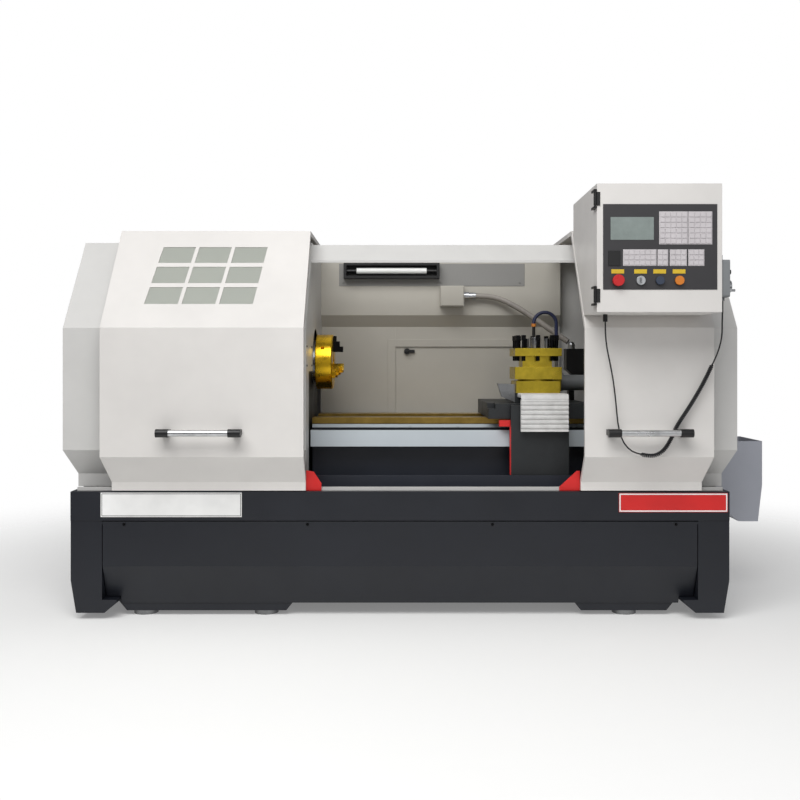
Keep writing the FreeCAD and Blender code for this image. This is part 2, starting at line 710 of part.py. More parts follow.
def lower_cover(side):
    """The bent lower cover as its two flat faces, clear of the end blocks' feet."""
    line = [
        (-BASE_Y, BAND_BOTTOM - COVER_SEAM),
        (-BASE_Y, PANEL_BEND),
        (-BASE_Y + PANEL_SETBACK, PANEL_BOTTOM),
    ]
    half = BLOCK_INNER - COVER_SEAM
    upper, lower = [prism_x(band, -half, half) for band in bands(line, offset_line(line, COVER))]
    foot_top = FLOOR_PLATE_Z + FLOOR_PLATE + 2
    deep = (-BASE_Y, -BASE_Y + PANEL_SETBACK + COVER)
    notches = [side_box(end, FOOT_INNER - 2, half + 1, *deep, 0, foot_top) for end in (-1, 1)]
    faces = [upper, lower.cut(notches)]
    if side > 0:
        return [face.mirror(V(0, 0, 0), V(0, 1, 0)) for face in faces]
    for x in COVER_SCREW_X:
        place = V(x, -BASE_Y, BAND_BOTTOM - COVER_SEAM - 10)
        faces.append(socket_screw(place, V(0, -1, 0), COVER_SCREW_R, 4.0))
    return faces


def levelling():
    pads = []
    bolts = []
    top = FLOOR_PLATE_Z + FLOOR_PLATE
    for x, y in pad_places():
        pad = cyl_z(0, LEG_BOTTOM, x, y, PAD_R)
        pads.append(pad.cut(cyl_z(PAD_SOCKET_Z, LEG_BOTTOM + 1, x, y, LEVEL_BOLT_R + BOLT_GAP)))
        shank = cyl_z(PAD_SOCKET_Z, LEVEL_BOLT_TOP, x, y, LEVEL_BOLT_R)
        bolts.append(shank.fuse(hexagon_z(top, top + LEVEL_NUT, x, y, LEVEL_NUT_ACROSS)))
    nodes["levelling_pads"] = Part.makeCompound(pads)
    nodes["levelling_bolts"] = Part.makeCompound(bolts)


def name_plate(span_x, span_z):
    plate = box(*span_x, -BASE_Y - PLATE, -BASE_Y, *span_z)
    field = (-BASE_Y - PLATE - 1, -BASE_Y - PLATE + PLATE_DEEP)
    return plate.cut(box(*inwards(span_x, PLATE_RIM), *field, *inwards(span_z, PLATE_RIM)))


def chip_tray():
    inner_x = inwards(TRAY_X, TRAY)
    inner_y = inwards(TRAY_Y, TRAY)
    lip = (BASE_TOP + TRAY, BASE_TOP + TRAY_LIP)
    return [
        box(*TRAY_X, *TRAY_Y, BASE_TOP, BASE_TOP + TRAY),
        box(TRAY_X[0], inner_x[0], TRAY_Y[0], BED_Y[0], *lip),
        box(TRAY_X[0], inner_x[0], BED_Y[1], TRAY_Y[1], *lip),
        box(inner_x[1], TRAY_X[1], *TRAY_Y, *lip),
        box(*inner_x, TRAY_Y[0], inner_y[0], *lip),
        box(*inner_x, inner_y[1], TRAY_Y[1], *lip),
    ]


def build_base():
    nodes["base_frame"] = base_frame()
    covers = [upper_cover(-1), upper_cover(1)] + lower_cover(-1) + lower_cover(1)
    nodes["base_covers"] = Part.makeCompound(covers)
    levelling()
    nodes["plain_white_plate"] = name_plate(WHITE_PLATE_X, WHITE_PLATE_Z)
    nodes["plain_red_plate"] = name_plate(RED_PLATE_X, RED_PLATE_Z)
    nodes["chip_tray"] = Part.makeCompound(chip_tray())


# ---------------------------------------------------------------- hoods and back wall


def hood_profile():
    """Side view of a hood, anticlockwise from the front of its lower edge."""
    return [
        (HOOD_SKIRT_Y, HOOD_BOTTOM),
        (HOOD_REAR, HOOD_BOTTOM),
        (HOOD_REAR, HOOD_TOP),
        (HOOD_SLOPE_Y, HOOD_TOP),
        (HOOD_FRONT, HOOD_FACE_TOP),
        (HOOD_FRONT, HOOD_FACE_BOTTOM),
        (HOOD_SKIRT_Y, HOOD_SKIRT_TOP),
    ]


def hood_outline(inner):
    """Front view of the right hood from its inner end."""
    return [
        (inner, HOOD_BOTTOM),
        (HOOD_SKIRT_X, HOOD_BOTTOM),
        (HOOD_SKIRT_X, HOOD_SKIRT_TOP),
        (HOOD_X, HOOD_FACE_BOTTOM),
        (HOOD_X, HOOD_TOP),
        (inner, HOOD_TOP),
    ]


def closed(points):
    return points + points[:1]


def hood_plates(inner, mirror):
    """The hood's flat plates: those that wrap round its profile, and the outer end."""
    turn = mirror_x if mirror else list
    outline = turn(hood_outline(inner))
    profile = hood_profile()
    inside = offset_loop(profile, SHEET)
    reach = HOOD_X + 1
    front_view = prism_y(outline, HOOD_FRONT - 1, HOOD_REAR + 1)
    levels = (HOOD_BOTTOM, HOOD_SKIRT_TOP, HOOD_FACE_BOTTOM, HOOD_TOP)
    tiers = [box(-reach, reach, HOOD_FRONT - 1, HOOD_REAR + 1, a, b) for a, b in zip(levels, levels[1:])]
    rear, *others = [prism_x(band, -reach, reach) for band in bands(closed(profile), closed(inside))[1:]]
    wraps = [rear.common(tier) for tier in tiers] + others
    plates = [wrap.common(front_view) for wrap in wraps]
    side_view = prism_x(inside, -reach, reach)
    end_line = turn(hood_outline(inner)[1:5])
    end_bands = bands(end_line, offset_line(end_line, SHEET))
    ends = [prism_y(band, HOOD_FRONT, HOOD_REAR).common(side_view) for band in end_bands]
    return plates + ends


def chuck_wall():
    """The left hood's inner wall, open round the chuck and over the chip tray."""
    wall = prism_x(offset_loop(hood_profile(), SHEET), HEAD_WALL_X - SHEET, HEAD_WALL_X)
    through = (HEAD_WALL_X - SHEET - 1, HEAD_WALL_X + 1)
    gap = box(*through, *CHIP_GAP_Y, HOOD_BOTTOM - 1, SPINDLE_Z - 41)
    return wall.cut([gap, cyl_x(*through, 0, SPINDLE_Z, CHUCK_R + CHUCK_HOLE_GAP)])


def tail_rims():
    """Flat strips round the right hood's inner opening."""
    edge = offset_loop(hood_profile(), SHEET)
    rear = HOOD_REAR - TAIL_RIM
    front = HOOD_FRONT + TAIL_RIM
    skirt = HOOD_SKIRT_Y + FOOT_PLATE
    opening = [
        (rear, HOOD_BOTTOM + SHEET),
        (rear, HOOD_TOP - TAIL_RIM),
        (HOOD_SLOPE_Y, HOOD_TOP - TAIL_RIM - 10),
        (front, HOOD_FACE_TOP - 15),
        (front, HOOD_FACE_BOTTOM),
        (skirt, HOOD_SKIRT_TOP),
        (skirt, HOOD_BOTTOM + SHEET),
    ]
    strips = bands(edge[1:] + edge[:1], opening)
    return [prism_x(band, TAIL_HOOD_X, TAIL_HOOD_X + SHEET) for band in strips]


def hood_feet(side, inner):
    """Angle feet that carry a hood on the base's deck."""
    end = HOOD_SKIRT_X - SHEET
    feet_z = (BASE_TOP, HOOD_SKIRT_TOP - 10)
    feet = [side_box(side, end, end - HOOD_FOOT, y, y + HOOD_FOOT_WIDE, *feet_z) for y in HOOD_FOOT_Y]
    inner_x = sorted((inner, inner + side * HOOD_FOOT))
    front = HOOD_SKIRT_Y + SHEET
    rear = HOOD_REAR - SHEET
    feet.append(box(*inner_x, front, front + FOOT_PLATE, BASE_TOP, HOOD_SKIRT_TOP))
    feet.append(box(*inner_x, rear - FOOT_PLATE, rear, BASE_TOP, HOOD_SKIRT_TOP))
    return feet


def build_hoods():
    left = hood_plates(-HEAD_WALL_X, True) + [chuck_wall()]
    left += hood_feet(-1, HEAD_WALL_X - SHEET)
    nodes["left_hood"] = Part.makeCompound(left)
    right = hood_plates(TAIL_HOOD_X, False) + tail_rims()
    right += hood_feet(1, TAIL_HOOD_X + SHEET)
    nodes["right_hood"] = Part.makeCompound(right)
    places = [V(HEAD_WALL_X, y, z) for z in HOOD_SCREW_Z for y in HOOD_SCREW_Y]
    nodes["hood_screws"] = Part.makeCompound([socket_screw(place, V(1, 0, 0)) for place in places])


def build_rails():
    """Header over the work zone, rear guide rail on the roofs, and lower front track."""
    nodes["header_rail"] = prism_x(strip(HEADER, -COVER), HEAD_WALL_X, TAIL_HOOD_X)
    rail_y = (BACK_Y + RAIL[0], BACK_Y + RAIL[1])
    end = HOOD_X - 10
    rail = box(-end, end, *rail_y, HOOD_TOP, HOOD_TOP + RAIL_HIGH)
    filler = box(HEAD_WALL_X, TAIL_HOOD_X, *rail_y, HOOD_TOP - 20, HOOD_TOP)
    nodes["rear_rail"] = rail.fuse(filler).removeSplitter()
    track_end = BASE_X - 18
    track_y = (LOW_ROLLER_Y - TRACK_HALF, LOW_ROLLER_Y + TRACK_HALF)
    nodes["door_track"] = box(-track_end, track_end, *track_y, BASE_TOP, TRACK_TOP)


def hatch_hinges(back):
    """Knuckles on the hatch, and pins held by lugs on the wall."""
    axis_z = HATCH_Z[0] - HATCH_LAP - 6
    axis_y = back + 8
    knuckles = []
    pins = []
    for x in HATCH_HINGE_X:
        end = x + HATCH_HINGE
        leaf_z = (axis_z, HATCH_Z[0] + 40)
        leaf = box(x, end, back + HATCH_PANEL, back + HATCH_PANEL + 2, *leaf_z)
        bore = cyl_x(x - 1, end + 1, axis_y, axis_z, HATCH_PIN_R + RUN_GAP)
        knuckles.append(leaf.fuse(cyl_x(x, end, axis_y, axis_z, HINGE_R)).cut(bore))
        pin = cyl_x(x - 12, end + 12, axis_y, axis_z, HATCH_PIN_R)
        for lug_x in (x - 12, end + 2):
            base = box(lug_x, lug_x + 10, BACK_Y + COVER, axis_y, axis_z - 5, axis_z + 5)
            pin = pin.fuse(base.fuse(cyl_x(lug_x, lug_x + 10, axis_y, axis_z, 5)))
        pins.append(pin)
    return knuckles, pins


def back_wall():
    """The wall's flat faces, the lowest one in four strips round the hatch's hole."""
    foot_top = BASE_TOP + TRAY_LIP + 5
    line = [
        (BACK_Y, foot_top),
        (BACK_Y, BACK_BEND_Z[0]),
        (UPPER_BACK_Y, BACK_BEND_Z[1]),
        (UPPER_BACK_Y, HOOD_TOP - 20),
        (HOOD_REAR, HOOD_TOP - 20),
    ]
    span = (HEAD_WALL_X, TAIL_HOOD_X)
    lower, *upper = [prism_x(band, *span) for band in bands(line, offset_line(line, -COVER))]
    far = (BACK_Y - 1, BACK_Y + COVER + 1)
    high = (BASE_TOP, HOOD_TOP)
    cells = frame_xz(span, high, HATCH_X, HATCH_Z, *far)
    faces = [lower.common(cell) for cell in cells] + upper
    faces.append(box(*span, BACK_Y, HOOD_REAR, BASE_TOP, foot_top))
    return faces


def build_back_wall():
    nodes["back_wall"] = Part.makeCompound(back_wall())
    outer_x = inwards(HATCH_X, -HATCH_BORDER)
    outer_z = inwards(HATCH_Z, -HATCH_BORDER)
    strips = frame_xz(outer_x, outer_z, HATCH_X, HATCH_Z, BACK_Y - HATCH_FRAME, BACK_Y)
    nodes["hatch_frame"] = Part.makeCompound(strips)
    back = BACK_Y + COVER + 0.5
    rear = back + HATCH_PANEL
    panel = box(*inwards(HATCH_X, -HATCH_LAP), back, rear, *inwards(HATCH_Z, -HATCH_LAP))
    knuckles, pins = hatch_hinges(back)
    hole = cyl_y(back - 1, rear + 1, *LATCH, LATCH_STEM_R + RUN_GAP)
    nodes["hatch"] = panel.fuse(knuckles).cut(hole)
    nodes["hatch_hinge_pins"] = Part.makeCompound(pins)
    x, z = LATCH
    tongue, half, reach = LATCH_TONGUE
    front = BACK_Y - HATCH_FRAME - SOFT_GAP - tongue
    knob = cyl_y(front - 6, front, x, z, LATCH_KNOB_R)
    wing = box(x - 13, x + 13, front - 14, front - 6, z - 3, z + 3)
    stem = cyl_y(front - 6, rear + 4, x, z, LATCH_STEM_R)
    bar = box(x - half / 2, x + reach, front, front + tongue, z - half / 2, z + half / 2)
    collar = cyl_y(rear + SLIDE_GAP, rear + 4, x, z, 2 * LATCH_STEM_R)
    nodes["hatch_latch"] = join([knob, wing, stem, bar, collar])


def build_lamp():
    plate = box(*LAMP_PLATE_X, UPPER_BACK_Y - LAMP_PLATE, UPPER_BACK_Y, *LAMP_PLATE_Z)
    front = UPPER_BACK_Y - LAMP_PLATE
    screws = [socket_screw(V(x, front, LAMP_PLATE_Z[0] + 17), V(0, -1, 0)) for x in LAMP_SCREW_X]
    nodes["lamp_plate"] = Part.makeCompound([plate] + screws)
    end, back, edge = LAMP_WALL
    housing = box(*LAMP_X, front - LAMP_DEEP, front, *LAMP_Z)
    room_x = inwards(LAMP_X, end)
    window = box(*room_x, front - LAMP_DEEP - 1, front - back, *inwards(LAMP_Z, edge))
    middle = sum(LAMP_Z) / 2
    axis_y = UPPER_BACK_Y - LAMP_TUBE_Y
    tube_x = inwards(room_x, LAMP_HOLDER)
    near = cyl_x(room_x[0], tube_x[0], axis_y, middle, LAMP_HOLDER_R)
    far = cyl_x(tube_x[1], room_x[1], axis_y, middle, LAMP_HOLDER_R)
    nodes["lamp_housing"] = join([housing.cut(window), near, far])
    nodes["lamp_tube"] = cyl_x(*tube_x, axis_y, middle, LAMP_TUBE_R)
    body_y = UPPER_BACK_Y - JUNCTION_DEEP
    body = box(*JUNCTION_X, body_y, UPPER_BACK_Y, *JUNCTION_Z)
    lid = box(*inwards(JUNCTION_X, 4), body_y - JUNCTION_LID, body_y, *inwards(JUNCTION_Z, 4))
    nodes["junction_box"] = body.fuse(lid)
    x, y, z = CONDUIT[0]
    nut_end = JUNCTION_X[1] + GLAND_NUT[0]
    nut = cyl_x(JUNCTION_X[1], nut_end, y, z, GLAND_NUT[1])
    nodes["conduit_gland"] = nut.fuse(cyl_x(nut_end, x, y, z, GLAND_R))


# ---------------------------------------------------------------- headstock


def build_headstock():
    casting = box(*HEAD_X, -HEAD_Y, HEAD_Y, *HEAD_Z)
    top_edges = [e for e in casting.Edges if e.BoundBox.ZMin > HEAD_Z[1] - 1]
    casting = casting.makeChamfer(HEAD_CHAMFER, top_edges)
    front_seat = HEAD_X[1] - HEAD_BEARING
    rear_seat = HEAD_X[0] + TAIL_BEARING
    room_x = (rear_seat + HEAD_WALL, front_seat - HEAD_WALL)
    gear_room = box(*room_x, HEAD_WALL - HEAD_Y, HEAD_Y - HEAD_WALL, *inwards(HEAD_Z, HEAD_WALL))
    cuts = [
        gear_room,
        cyl_x(HEAD_X[0] - 1, HEAD_X[1] + 1, 0, SPINDLE_Z, SPINDLE_R + BLOCK_WALL),
        cyl_x(front_seat, HEAD_X[1] + 1, 0, SPINDLE_Z, HEAD_BEARING_R),
        cyl_x(HEAD_X[0] - 1, rear_seat, 0, SPINDLE_Z, TAIL_BEARING_R),
    ]
    plinth_x = (HEAD_X[0] + 20, HEAD_X[1] - HEAD_WALL)
    plinth_z = (BASE_TOP, HEAD_Z[0])
    plinth = [
        box(*plinth_x, -HEAD_Y, -HEAD_Y + HEAD_WALL, *plinth_z),
        box(*plinth_x, HEAD_Y - HEAD_WALL, HEAD_Y, *plinth_z),
        box(plinth_x[1], HEAD_X[1], -HEAD_Y, HEAD_Y, *plinth_z),
    ]
    nodes["headstock"] = Part.makeCompound([casting.cut(cuts)] + plinth)
    bore = SPINDLE_R + RUN_GAP
    front = ring_x(front_seat, HEAD_X[1], 0, SPINDLE_Z, HEAD_BEARING_R, bore)
    rear = ring_x(HEAD_X[0], rear_seat, 0, SPINDLE_Z, TAIL_BEARING_R, bore)
    nodes["spindle_bearings"] = Part.makeCompound([front, rear])
    shaft = cyl_x(PULLEY_X[0] - SHAFT_END, HEAD_X[1] + 2, 0, SPINDLE_Z, SPINDLE_R)
    nose = cyl_x(HEAD_X[1] + 2, CHUCK_X[0], 0, SPINDLE_Z, SPINDLE_FLANGE_R)
    hollow = cyl_x(PULLEY_X[0] - SHAFT_END - 1, CHUCK_X[0] + 1, 0, SPINDLE_Z, SPINDLE_BORE_R)
    nodes["spindle"] = shaft.fuse(nose).cut(hollow)


def jaw(angle):
    """A stepped jaw with its guide in the chuck body's slot, made pointing up, then turned."""
    face = CHUCK_X[1]
    half = JAW_WIDE / 2
    inner, outer = JAW_R
    near, far = (face + step for step in JAW_STEPS)
    steps = [
        (face + SLIDE_GAP, inner),
        (face + SLIDE_GAP, outer),
        (near, outer),
        (near, outer - JAW_STEP),
        (far, outer - JAW_STEP),
        (far, outer - 2 * JAW_STEP),
        (face + JAW_TIP, outer - 2 * JAW_STEP),
        (face + JAW_TIP, inner),
    ]
    upper = prism_y([(x, SPINDLE_Z + r) for x, r in steps], -half, half)
    rib_z = (SPINDLE_Z + inner + 2, SPINDLE_Z + outer - 4)
    rib = box(face - GUIDE, face + SLIDE_GAP, -GUIDE_HALF, GUIDE_HALF, *rib_z)
    shape = upper.fuse(rib).removeSplitter()
    shape.rotate(V(0, 0, SPINDLE_Z), V(1, 0, 0), angle)
    return shape


def jaw_slot(angle):
    half = GUIDE_HALF + SLIDE_GAP
    slot_z = (SPINDLE_Z + JAW_R[0] + 1.5 - JAW_TRAVEL, SPINDLE_Z + CHUCK_R + 1)
    slot = box(CHUCK_X[1] - GUIDE - SLIDE_GAP, CHUCK_X[1] + 1, -half, half, *slot_z)
    slot.rotate(V(0, 0, SPINDLE_Z), V(1, 0, 0), angle)
    return slot


def build_chuck():
    body = cyl_x(*CHUCK_X, 0, SPINDLE_Z, CHUCK_R)
    rims = [e for e in body.Edges if e.BoundBox.XLength < 1]
    body = body.makeChamfer(CHUCK_EDGE, rims)
    cuts = [jaw_slot(a) for a in JAW_ANGLES]
    cuts.append(cyl_x(CHUCK_X[0] - 1, CHUCK_X[1] + 1, 0, SPINDLE_Z, CHUCK_BORE_R))
    key_x = sum(CHUCK_X) / 2 - 4
    key_z = (SPINDLE_Z + CHUCK_R - KEY_DEEP, SPINDLE_Z + CHUCK_R + 1)
    for a in JAW_ANGLES:
        key = box(key_x - KEY_HALF, key_x + KEY_HALF, -KEY_HALF, KEY_HALF, *key_z)
        key.rotate(V(0, 0, SPINDLE_Z), V(1, 0, 0), a + 60)
        cuts.append(key)
    nodes["chuck_body"] = body.cut(cuts)
    for number, a in enumerate(JAW_ANGLES, 1):
        nodes["chuck_jaw_%d" % number] = jaw(a)


def belt_loop(grow):
    """The filled outline of a belt round both pulleys."""
    big = SPINDLE_PULLEY_R + grow
    small = MOTOR_PULLEY_R + grow
    lean = math.asin((big - small) / (SPINDLE_Z - MOTOR_Z))
    x0, x1 = inwards(PULLEY_X, 5)
    side = (math.cos(lean), -math.sin(lean))
    points = [
        (small * side[0], MOTOR_Z + small * side[1]),
        (big * side[0], SPINDLE_Z + big * side[1]),
        (-big * side[0], SPINDLE_Z + big * side[1]),
        (-small * side[0], MOTOR_Z + small * side[1]),
    ]
    rounds = [cyl_x(x0, x1, 0, SPINDLE_Z, big), cyl_x(x0, x1, 0, MOTOR_Z, small)]
    return join(rounds + [prism_x(points, x0, x1)])


def build_drive():
    hole = cyl_x(PULLEY_X[0] - 1, PULLEY_X[1] + 1, 0, SPINDLE_Z, SPINDLE_R)
    nodes["spindle_pulley"] = cyl_x(*PULLEY_X, 0, SPINDLE_Z, SPINDLE_PULLEY_R).cut(hole)
    motor = cyl_x(*MOTOR_X, 0, MOTOR_Z, MOTOR_R)
    foot = box(*inwards(MOTOR_X, 40), -MOTOR_FOOT, MOTOR_FOOT, BASE_TOP, MOTOR_Z - 80)
    terminal_x = (MOTOR_X[0] + 120, MOTOR_X[0] + 240)
    terminal = box(*terminal_x, -60, 60, MOTOR_Z + MOTOR_R - 20, MOTOR_Z + MOTOR_R + 45)
    socket_end = MOTOR_X[0] + MOTOR_SHAFT_IN + 2
    hole = cyl_x(MOTOR_X[0] - 1, socket_end, 0, MOTOR_Z, MOTOR_SHAFT_R + RUN_GAP)
    nodes["main_motor"] = join([motor, foot, terminal]).cut(hole)
    shaft = cyl_x(PULLEY_X[0], MOTOR_X[0] + MOTOR_SHAFT_IN, 0, MOTOR_Z, MOTOR_SHAFT_R)
    nodes["motor_pulley"] = shaft.fuse(cyl_x(*PULLEY_X, 0, MOTOR_Z, MOTOR_PULLEY_R))
    nodes["drive_belt"] = belt_loop(BELT + SOFT_GAP).cut(belt_loop(SOFT_GAP))


# ---------------------------------------------------------------- bed and screws


def build_bed():
    low = BASE_TOP + TRAY
    body = box(*BED_X, *BED_Y, low, WAY_TOP - WAY_DEEP)
    trough = box(*inwards(BED_X, BED_END), *inwards(BED_Y, BED_WALL), low + BED_WEB, WAY_TOP)
    nodes["bed"] = body.cut(trough)
    ways = [box(*BED_X, *span, WAY_TOP - WAY_DEEP, WAY_TOP) for span in (FRONT_WAY, REAR_WAY)]
    nodes["bed_ways"] = Part.makeCompound(ways)
    front = BED_Y[0] - WAY_STRIP
    span = (BED_X[0], SCREW_END)
    strip_z = sum(WAY_STRIP_Z) / 2
    rail = box(*span, front, BED_Y[0], *WAY_STRIP_Z)
    screws = [socket_screw(V(x, front, strip_z), V(0, -1, 0), 5, 2) for x in SCREW_STRIP_X]
    nodes["way_strip"] = Part.makeCompound([rail] + screws)
    cover_y = SCREW_COVER_Y + COVER
    shelf_z = (SCREW_COVER_Z[0], SCREW_COVER_Z[0] + COVER)
    cover = box(*span, SCREW_COVER_Y, cover_y, *SCREW_COVER_Z)
    nodes["screw_cover"] = Part.makeCompound([cover, box(*span, cover_y, BED_Y[0], *shelf_z)])


def build_z_drive():
    low = SCREW_COVER_Z[0] + COVER
    bore = SCREW_R + RUN_GAP
    blocks = []
    for x in (BED_X[0], SCREW_END - BEARING_BLOCK):
        block = box(x, x + BEARING_BLOCK, *BLOCK_Y, low, SCREW_COVER_Z[1] - 1)
        blocks.append(block.cut(cyl_x(x - 1, x + BEARING_BLOCK + 1, SCREW_Y, SCREW_Z, bore)))
    nodes["screw_blocks"] = Part.makeCompound(blocks)
    nodes["z_screw"] = cyl_x(BED_X[0] + 4, SCREW_END + 30, SCREW_Y, SCREW_Z, SCREW_R)
    half = Z_SERVO_HALF
    servo_z = (SCREW_Z - half, SCREW_Z + half)
    servo = box(SCREW_END, SCREW_END + Z_SERVO, SCREW_Y - half, SCREW_Y + half - 2, *servo_z)
    nodes["z_servo"] = servo.cut(cyl_x(SCREW_END - 1, SCREW_END + 32, SCREW_Y, SCREW_Z, bore))
    nut = box(*Z_NUT_X, *Z_NUT_Y, low + 7, WAY_TOP + SLIDE_GAP)
    nodes["z_nut"] = nut.cut(cyl_x(Z_NUT_X[0] - 1, Z_NUT_X[1] + 1, SCREW_Y, SCREW_Z, bore))


# ---------------------------------------------------------------- saddle, cross slide, turret


def build_saddle():
    under = WAY_TOP + SLIDE_GAP
    guide_top = SADDLE_TOP + GUIDE_HIGH
    between = (FRONT_WAY[1] + SLIDE_GAP, REAR_WAY[0] - SLIDE_GAP)
    keel_z = (WAY_TOP - WAY_DEEP + SADDLE_KEEL, under)
    parts = [
        box(*SADDLE_X, *SADDLE_Y, under, SADDLE_TOP),
        box(*inwards(SADDLE_X, 40), *between, *keel_z),
    ]
    parts += [box(*x, SADDLE_Y[0] + 5, GUIDE_REAR, SADDLE_TOP, guide_top) for x in GUIDE_X]
    half = CROSS_SERVO / 2
    servo_x = (POST_X - half, POST_X + half)
    servo_z = (CROSS_SCREW_Z - half, CROSS_SCREW_Z + half)
    pocket = box(*inwards(servo_x, -1), CROSS_SERVO_Y, SADDLE_Y[1] + 1, servo_z[0], guide_top + 1)
    notch_y = (SADDLE_Y[0] - 1, SADDLE_Y[0] + 60)
    notch = box(SADDLE_X[0] - 1, SADDLE_X[0] + 30, *notch_y, SADDLE_TOP - 22, SADDLE_TOP + 1)
    nodes["saddle"] = join(parts).cut([pocket, notch])
    apron = box(*APRON_X, APRON_FRONT, SADDLE_Y[0], *APRON_Z)
    room_y = (APRON_FRONT + APRON_WALL - 2, SADDLE_Y[0] + 1)
    room_z = (APRON_Z[0] + APRON_WALL, WAY_TOP - 11)
    nodes["apron"] = apron.cut(box(*inwards(APRON_X, APRON_WALL), *room_y, *room_z))
    edge_x = (APRON_X[0] - APRON_EDGE, APRON_X[0])
    edge = box(*edge_x, APRON_FRONT, SADDLE_Y[0] - 2, APRON_Z[0], WIPER_Z[0])
    wiper = box(WIPER_X, APRON_X[0], APRON_FRONT + 20, SADDLE_Y[0] + 20, *WIPER_Z)
    nodes["apron_guards"] = edge.fuse(wiper).removeSplitter()
    servo = box(*servo_x, CROSS_SERVO_Y, BACK_Y - 10, *servo_z)
    socket = (CROSS_SERVO_Y - 1, CROSS_SERVO_Y + 25, POST_X, CROSS_SCREW_Z)
    nodes["x_servo"] = servo.cut(cyl_y(*socket, CROSS_SCREW_R + RUN_GAP))
    screw_y = (SLIDE_Y[0] + 5, CROSS_SERVO_Y + 23)
    nodes["x_screw"] = cyl_y(*screw_y, POST_X, CROSS_SCREW_Z, CROSS_SCREW_R)


def build_bellows():
    """Cover that runs forward from the cross slide and hangs in front of the apron."""
    front = APRON_FRONT - BELLOWS
    hang = box(*BELLOWS_X, front, APRON_FRONT, *BELLOWS_Z)
    flat_z = (SADDLE_TOP + GUIDE_HIGH + SOFT_GAP, BELLOWS_Z[1])
    flat = box(*BELLOWS_X, front, SLIDE_Y[0] - SOFT_GAP, *flat_z)
    cover = hang.fuse(flat).removeSplitter()
    boxes = [(e, e.BoundBox) for e in cover.Edges]
    outer = [e for e, b in boxes if b.YMax < front + 1 and b.ZMin > BELLOWS_Z[1] - 1]
    nodes["bellows"] = cover.makeFillet(BELLOWS_BEND, outer)


def build_connection_box():
    low, step, top = LINK_Z
    x0, x1 = LINK_X
    outline = [(LINK_STEP_X, low), (x1, low), (x1, top), (x0, top), (x0, step)]
    post = box(*LINK_POST_X, *LINK_POST_Y, SADDLE_TOP, low)
    nodes["connection_box"] = prism_y(outline, *LINK_Y).fuse(post).removeSplitter()
    knee_z = top + ELBOW_HIGH
    knee = Part.makeSphere(ELBOW_R, V(*ELBOW, knee_z))
    nodes["conduit_elbow"] = cyl_z(top, knee_z, *ELBOW, ELBOW_R).fuse(knee)


def build_cross_slide():
    cut_y = inwards(SLIDE_Y, -1)
    groove_z = (SADDLE_TOP, SADDLE_TOP + GUIDE_HIGH + SLIDE_GAP)
    cuts = [box(*inwards(x, -SLIDE_GAP), *cut_y, *groove_z) for x in GUIDE_X]
    channel_x = (POST_X - CHANNEL_HALF, POST_X + CHANNEL_HALF)
    cuts.append(box(*channel_x, *cut_y, SADDLE_TOP, CROSS_SCREW_Z + CHANNEL_HALF))
    slide = box(*SLIDE_X, *SLIDE_Y, SADDLE_TOP + SLIDE_GAP, SLIDE_TOP).cut(cuts)
    nut_z = (CROSS_SCREW_Z - CHANNEL_HALF + 1, CROSS_SCREW_Z + CHANNEL_HALF)
    nut = box(*channel_x, *CROSS_NUT_Y, *nut_z)
    bore = (CROSS_NUT_Y[0] - 1, CROSS_NUT_Y[1] + 1, POST_X, CROSS_SCREW_Z)
    nodes["cross_slide"] = slide.fuse(nut.cut(cyl_y(*bore, CROSS_SCREW_R + RUN_GAP)))
    bracket = prism_y(BRACKET_OUTLINE, SLIDE_Y[0], SLIDE_Y[0] + BRACKET)
    screws = [socket_screw(V(x, SLIDE_Y[0], z), V(0, -1, 0), 5, 3) for x, z in BRACKET_SCREWS]
    nodes["switch_bracket"] = Part.makeCompound([bracket] + screws)


def square_z(half, z0, z1):
    return box(POST_X - half, POST_X + half, POST_Y - half, POST_Y + half, z0, z1)


def build_turret_base():
    half = POST_SIDE / 2
    under = POST_Z[0] - POST_LIFT
    foot = half - PEDESTAL_INSET
    gearbox = box(*GEARBOX_X, *GEARBOX_Y, SLIDE_TOP, GEARBOX_TOP)
    bridge_x = (GEARBOX_X[0], POST_X + foot)
    bridge = box(*bridge_x, POST_Y + foot, GEARBOX_Y[0], SLIDE_TOP, under)
    nodes["turret_base"] = join([square_z(foot, SLIDE_TOP, under), gearbox, bridge])
    x = GEARBOX_X[1]
    flange_z = TURRET_MOTOR_Z + 4
    motor = cyl_x(x, x + TURRET_MOTOR, TURRET_MOTOR_Y, TURRET_MOTOR_Z, TURRET_MOTOR_R)
    flange = cyl_x(x, x + TURRET_FLANGE, TURRET_MOTOR_Y, flange_z, TURRET_FLANGE_R)
    nodes["turret_motor"] = motor.fuse(flange)


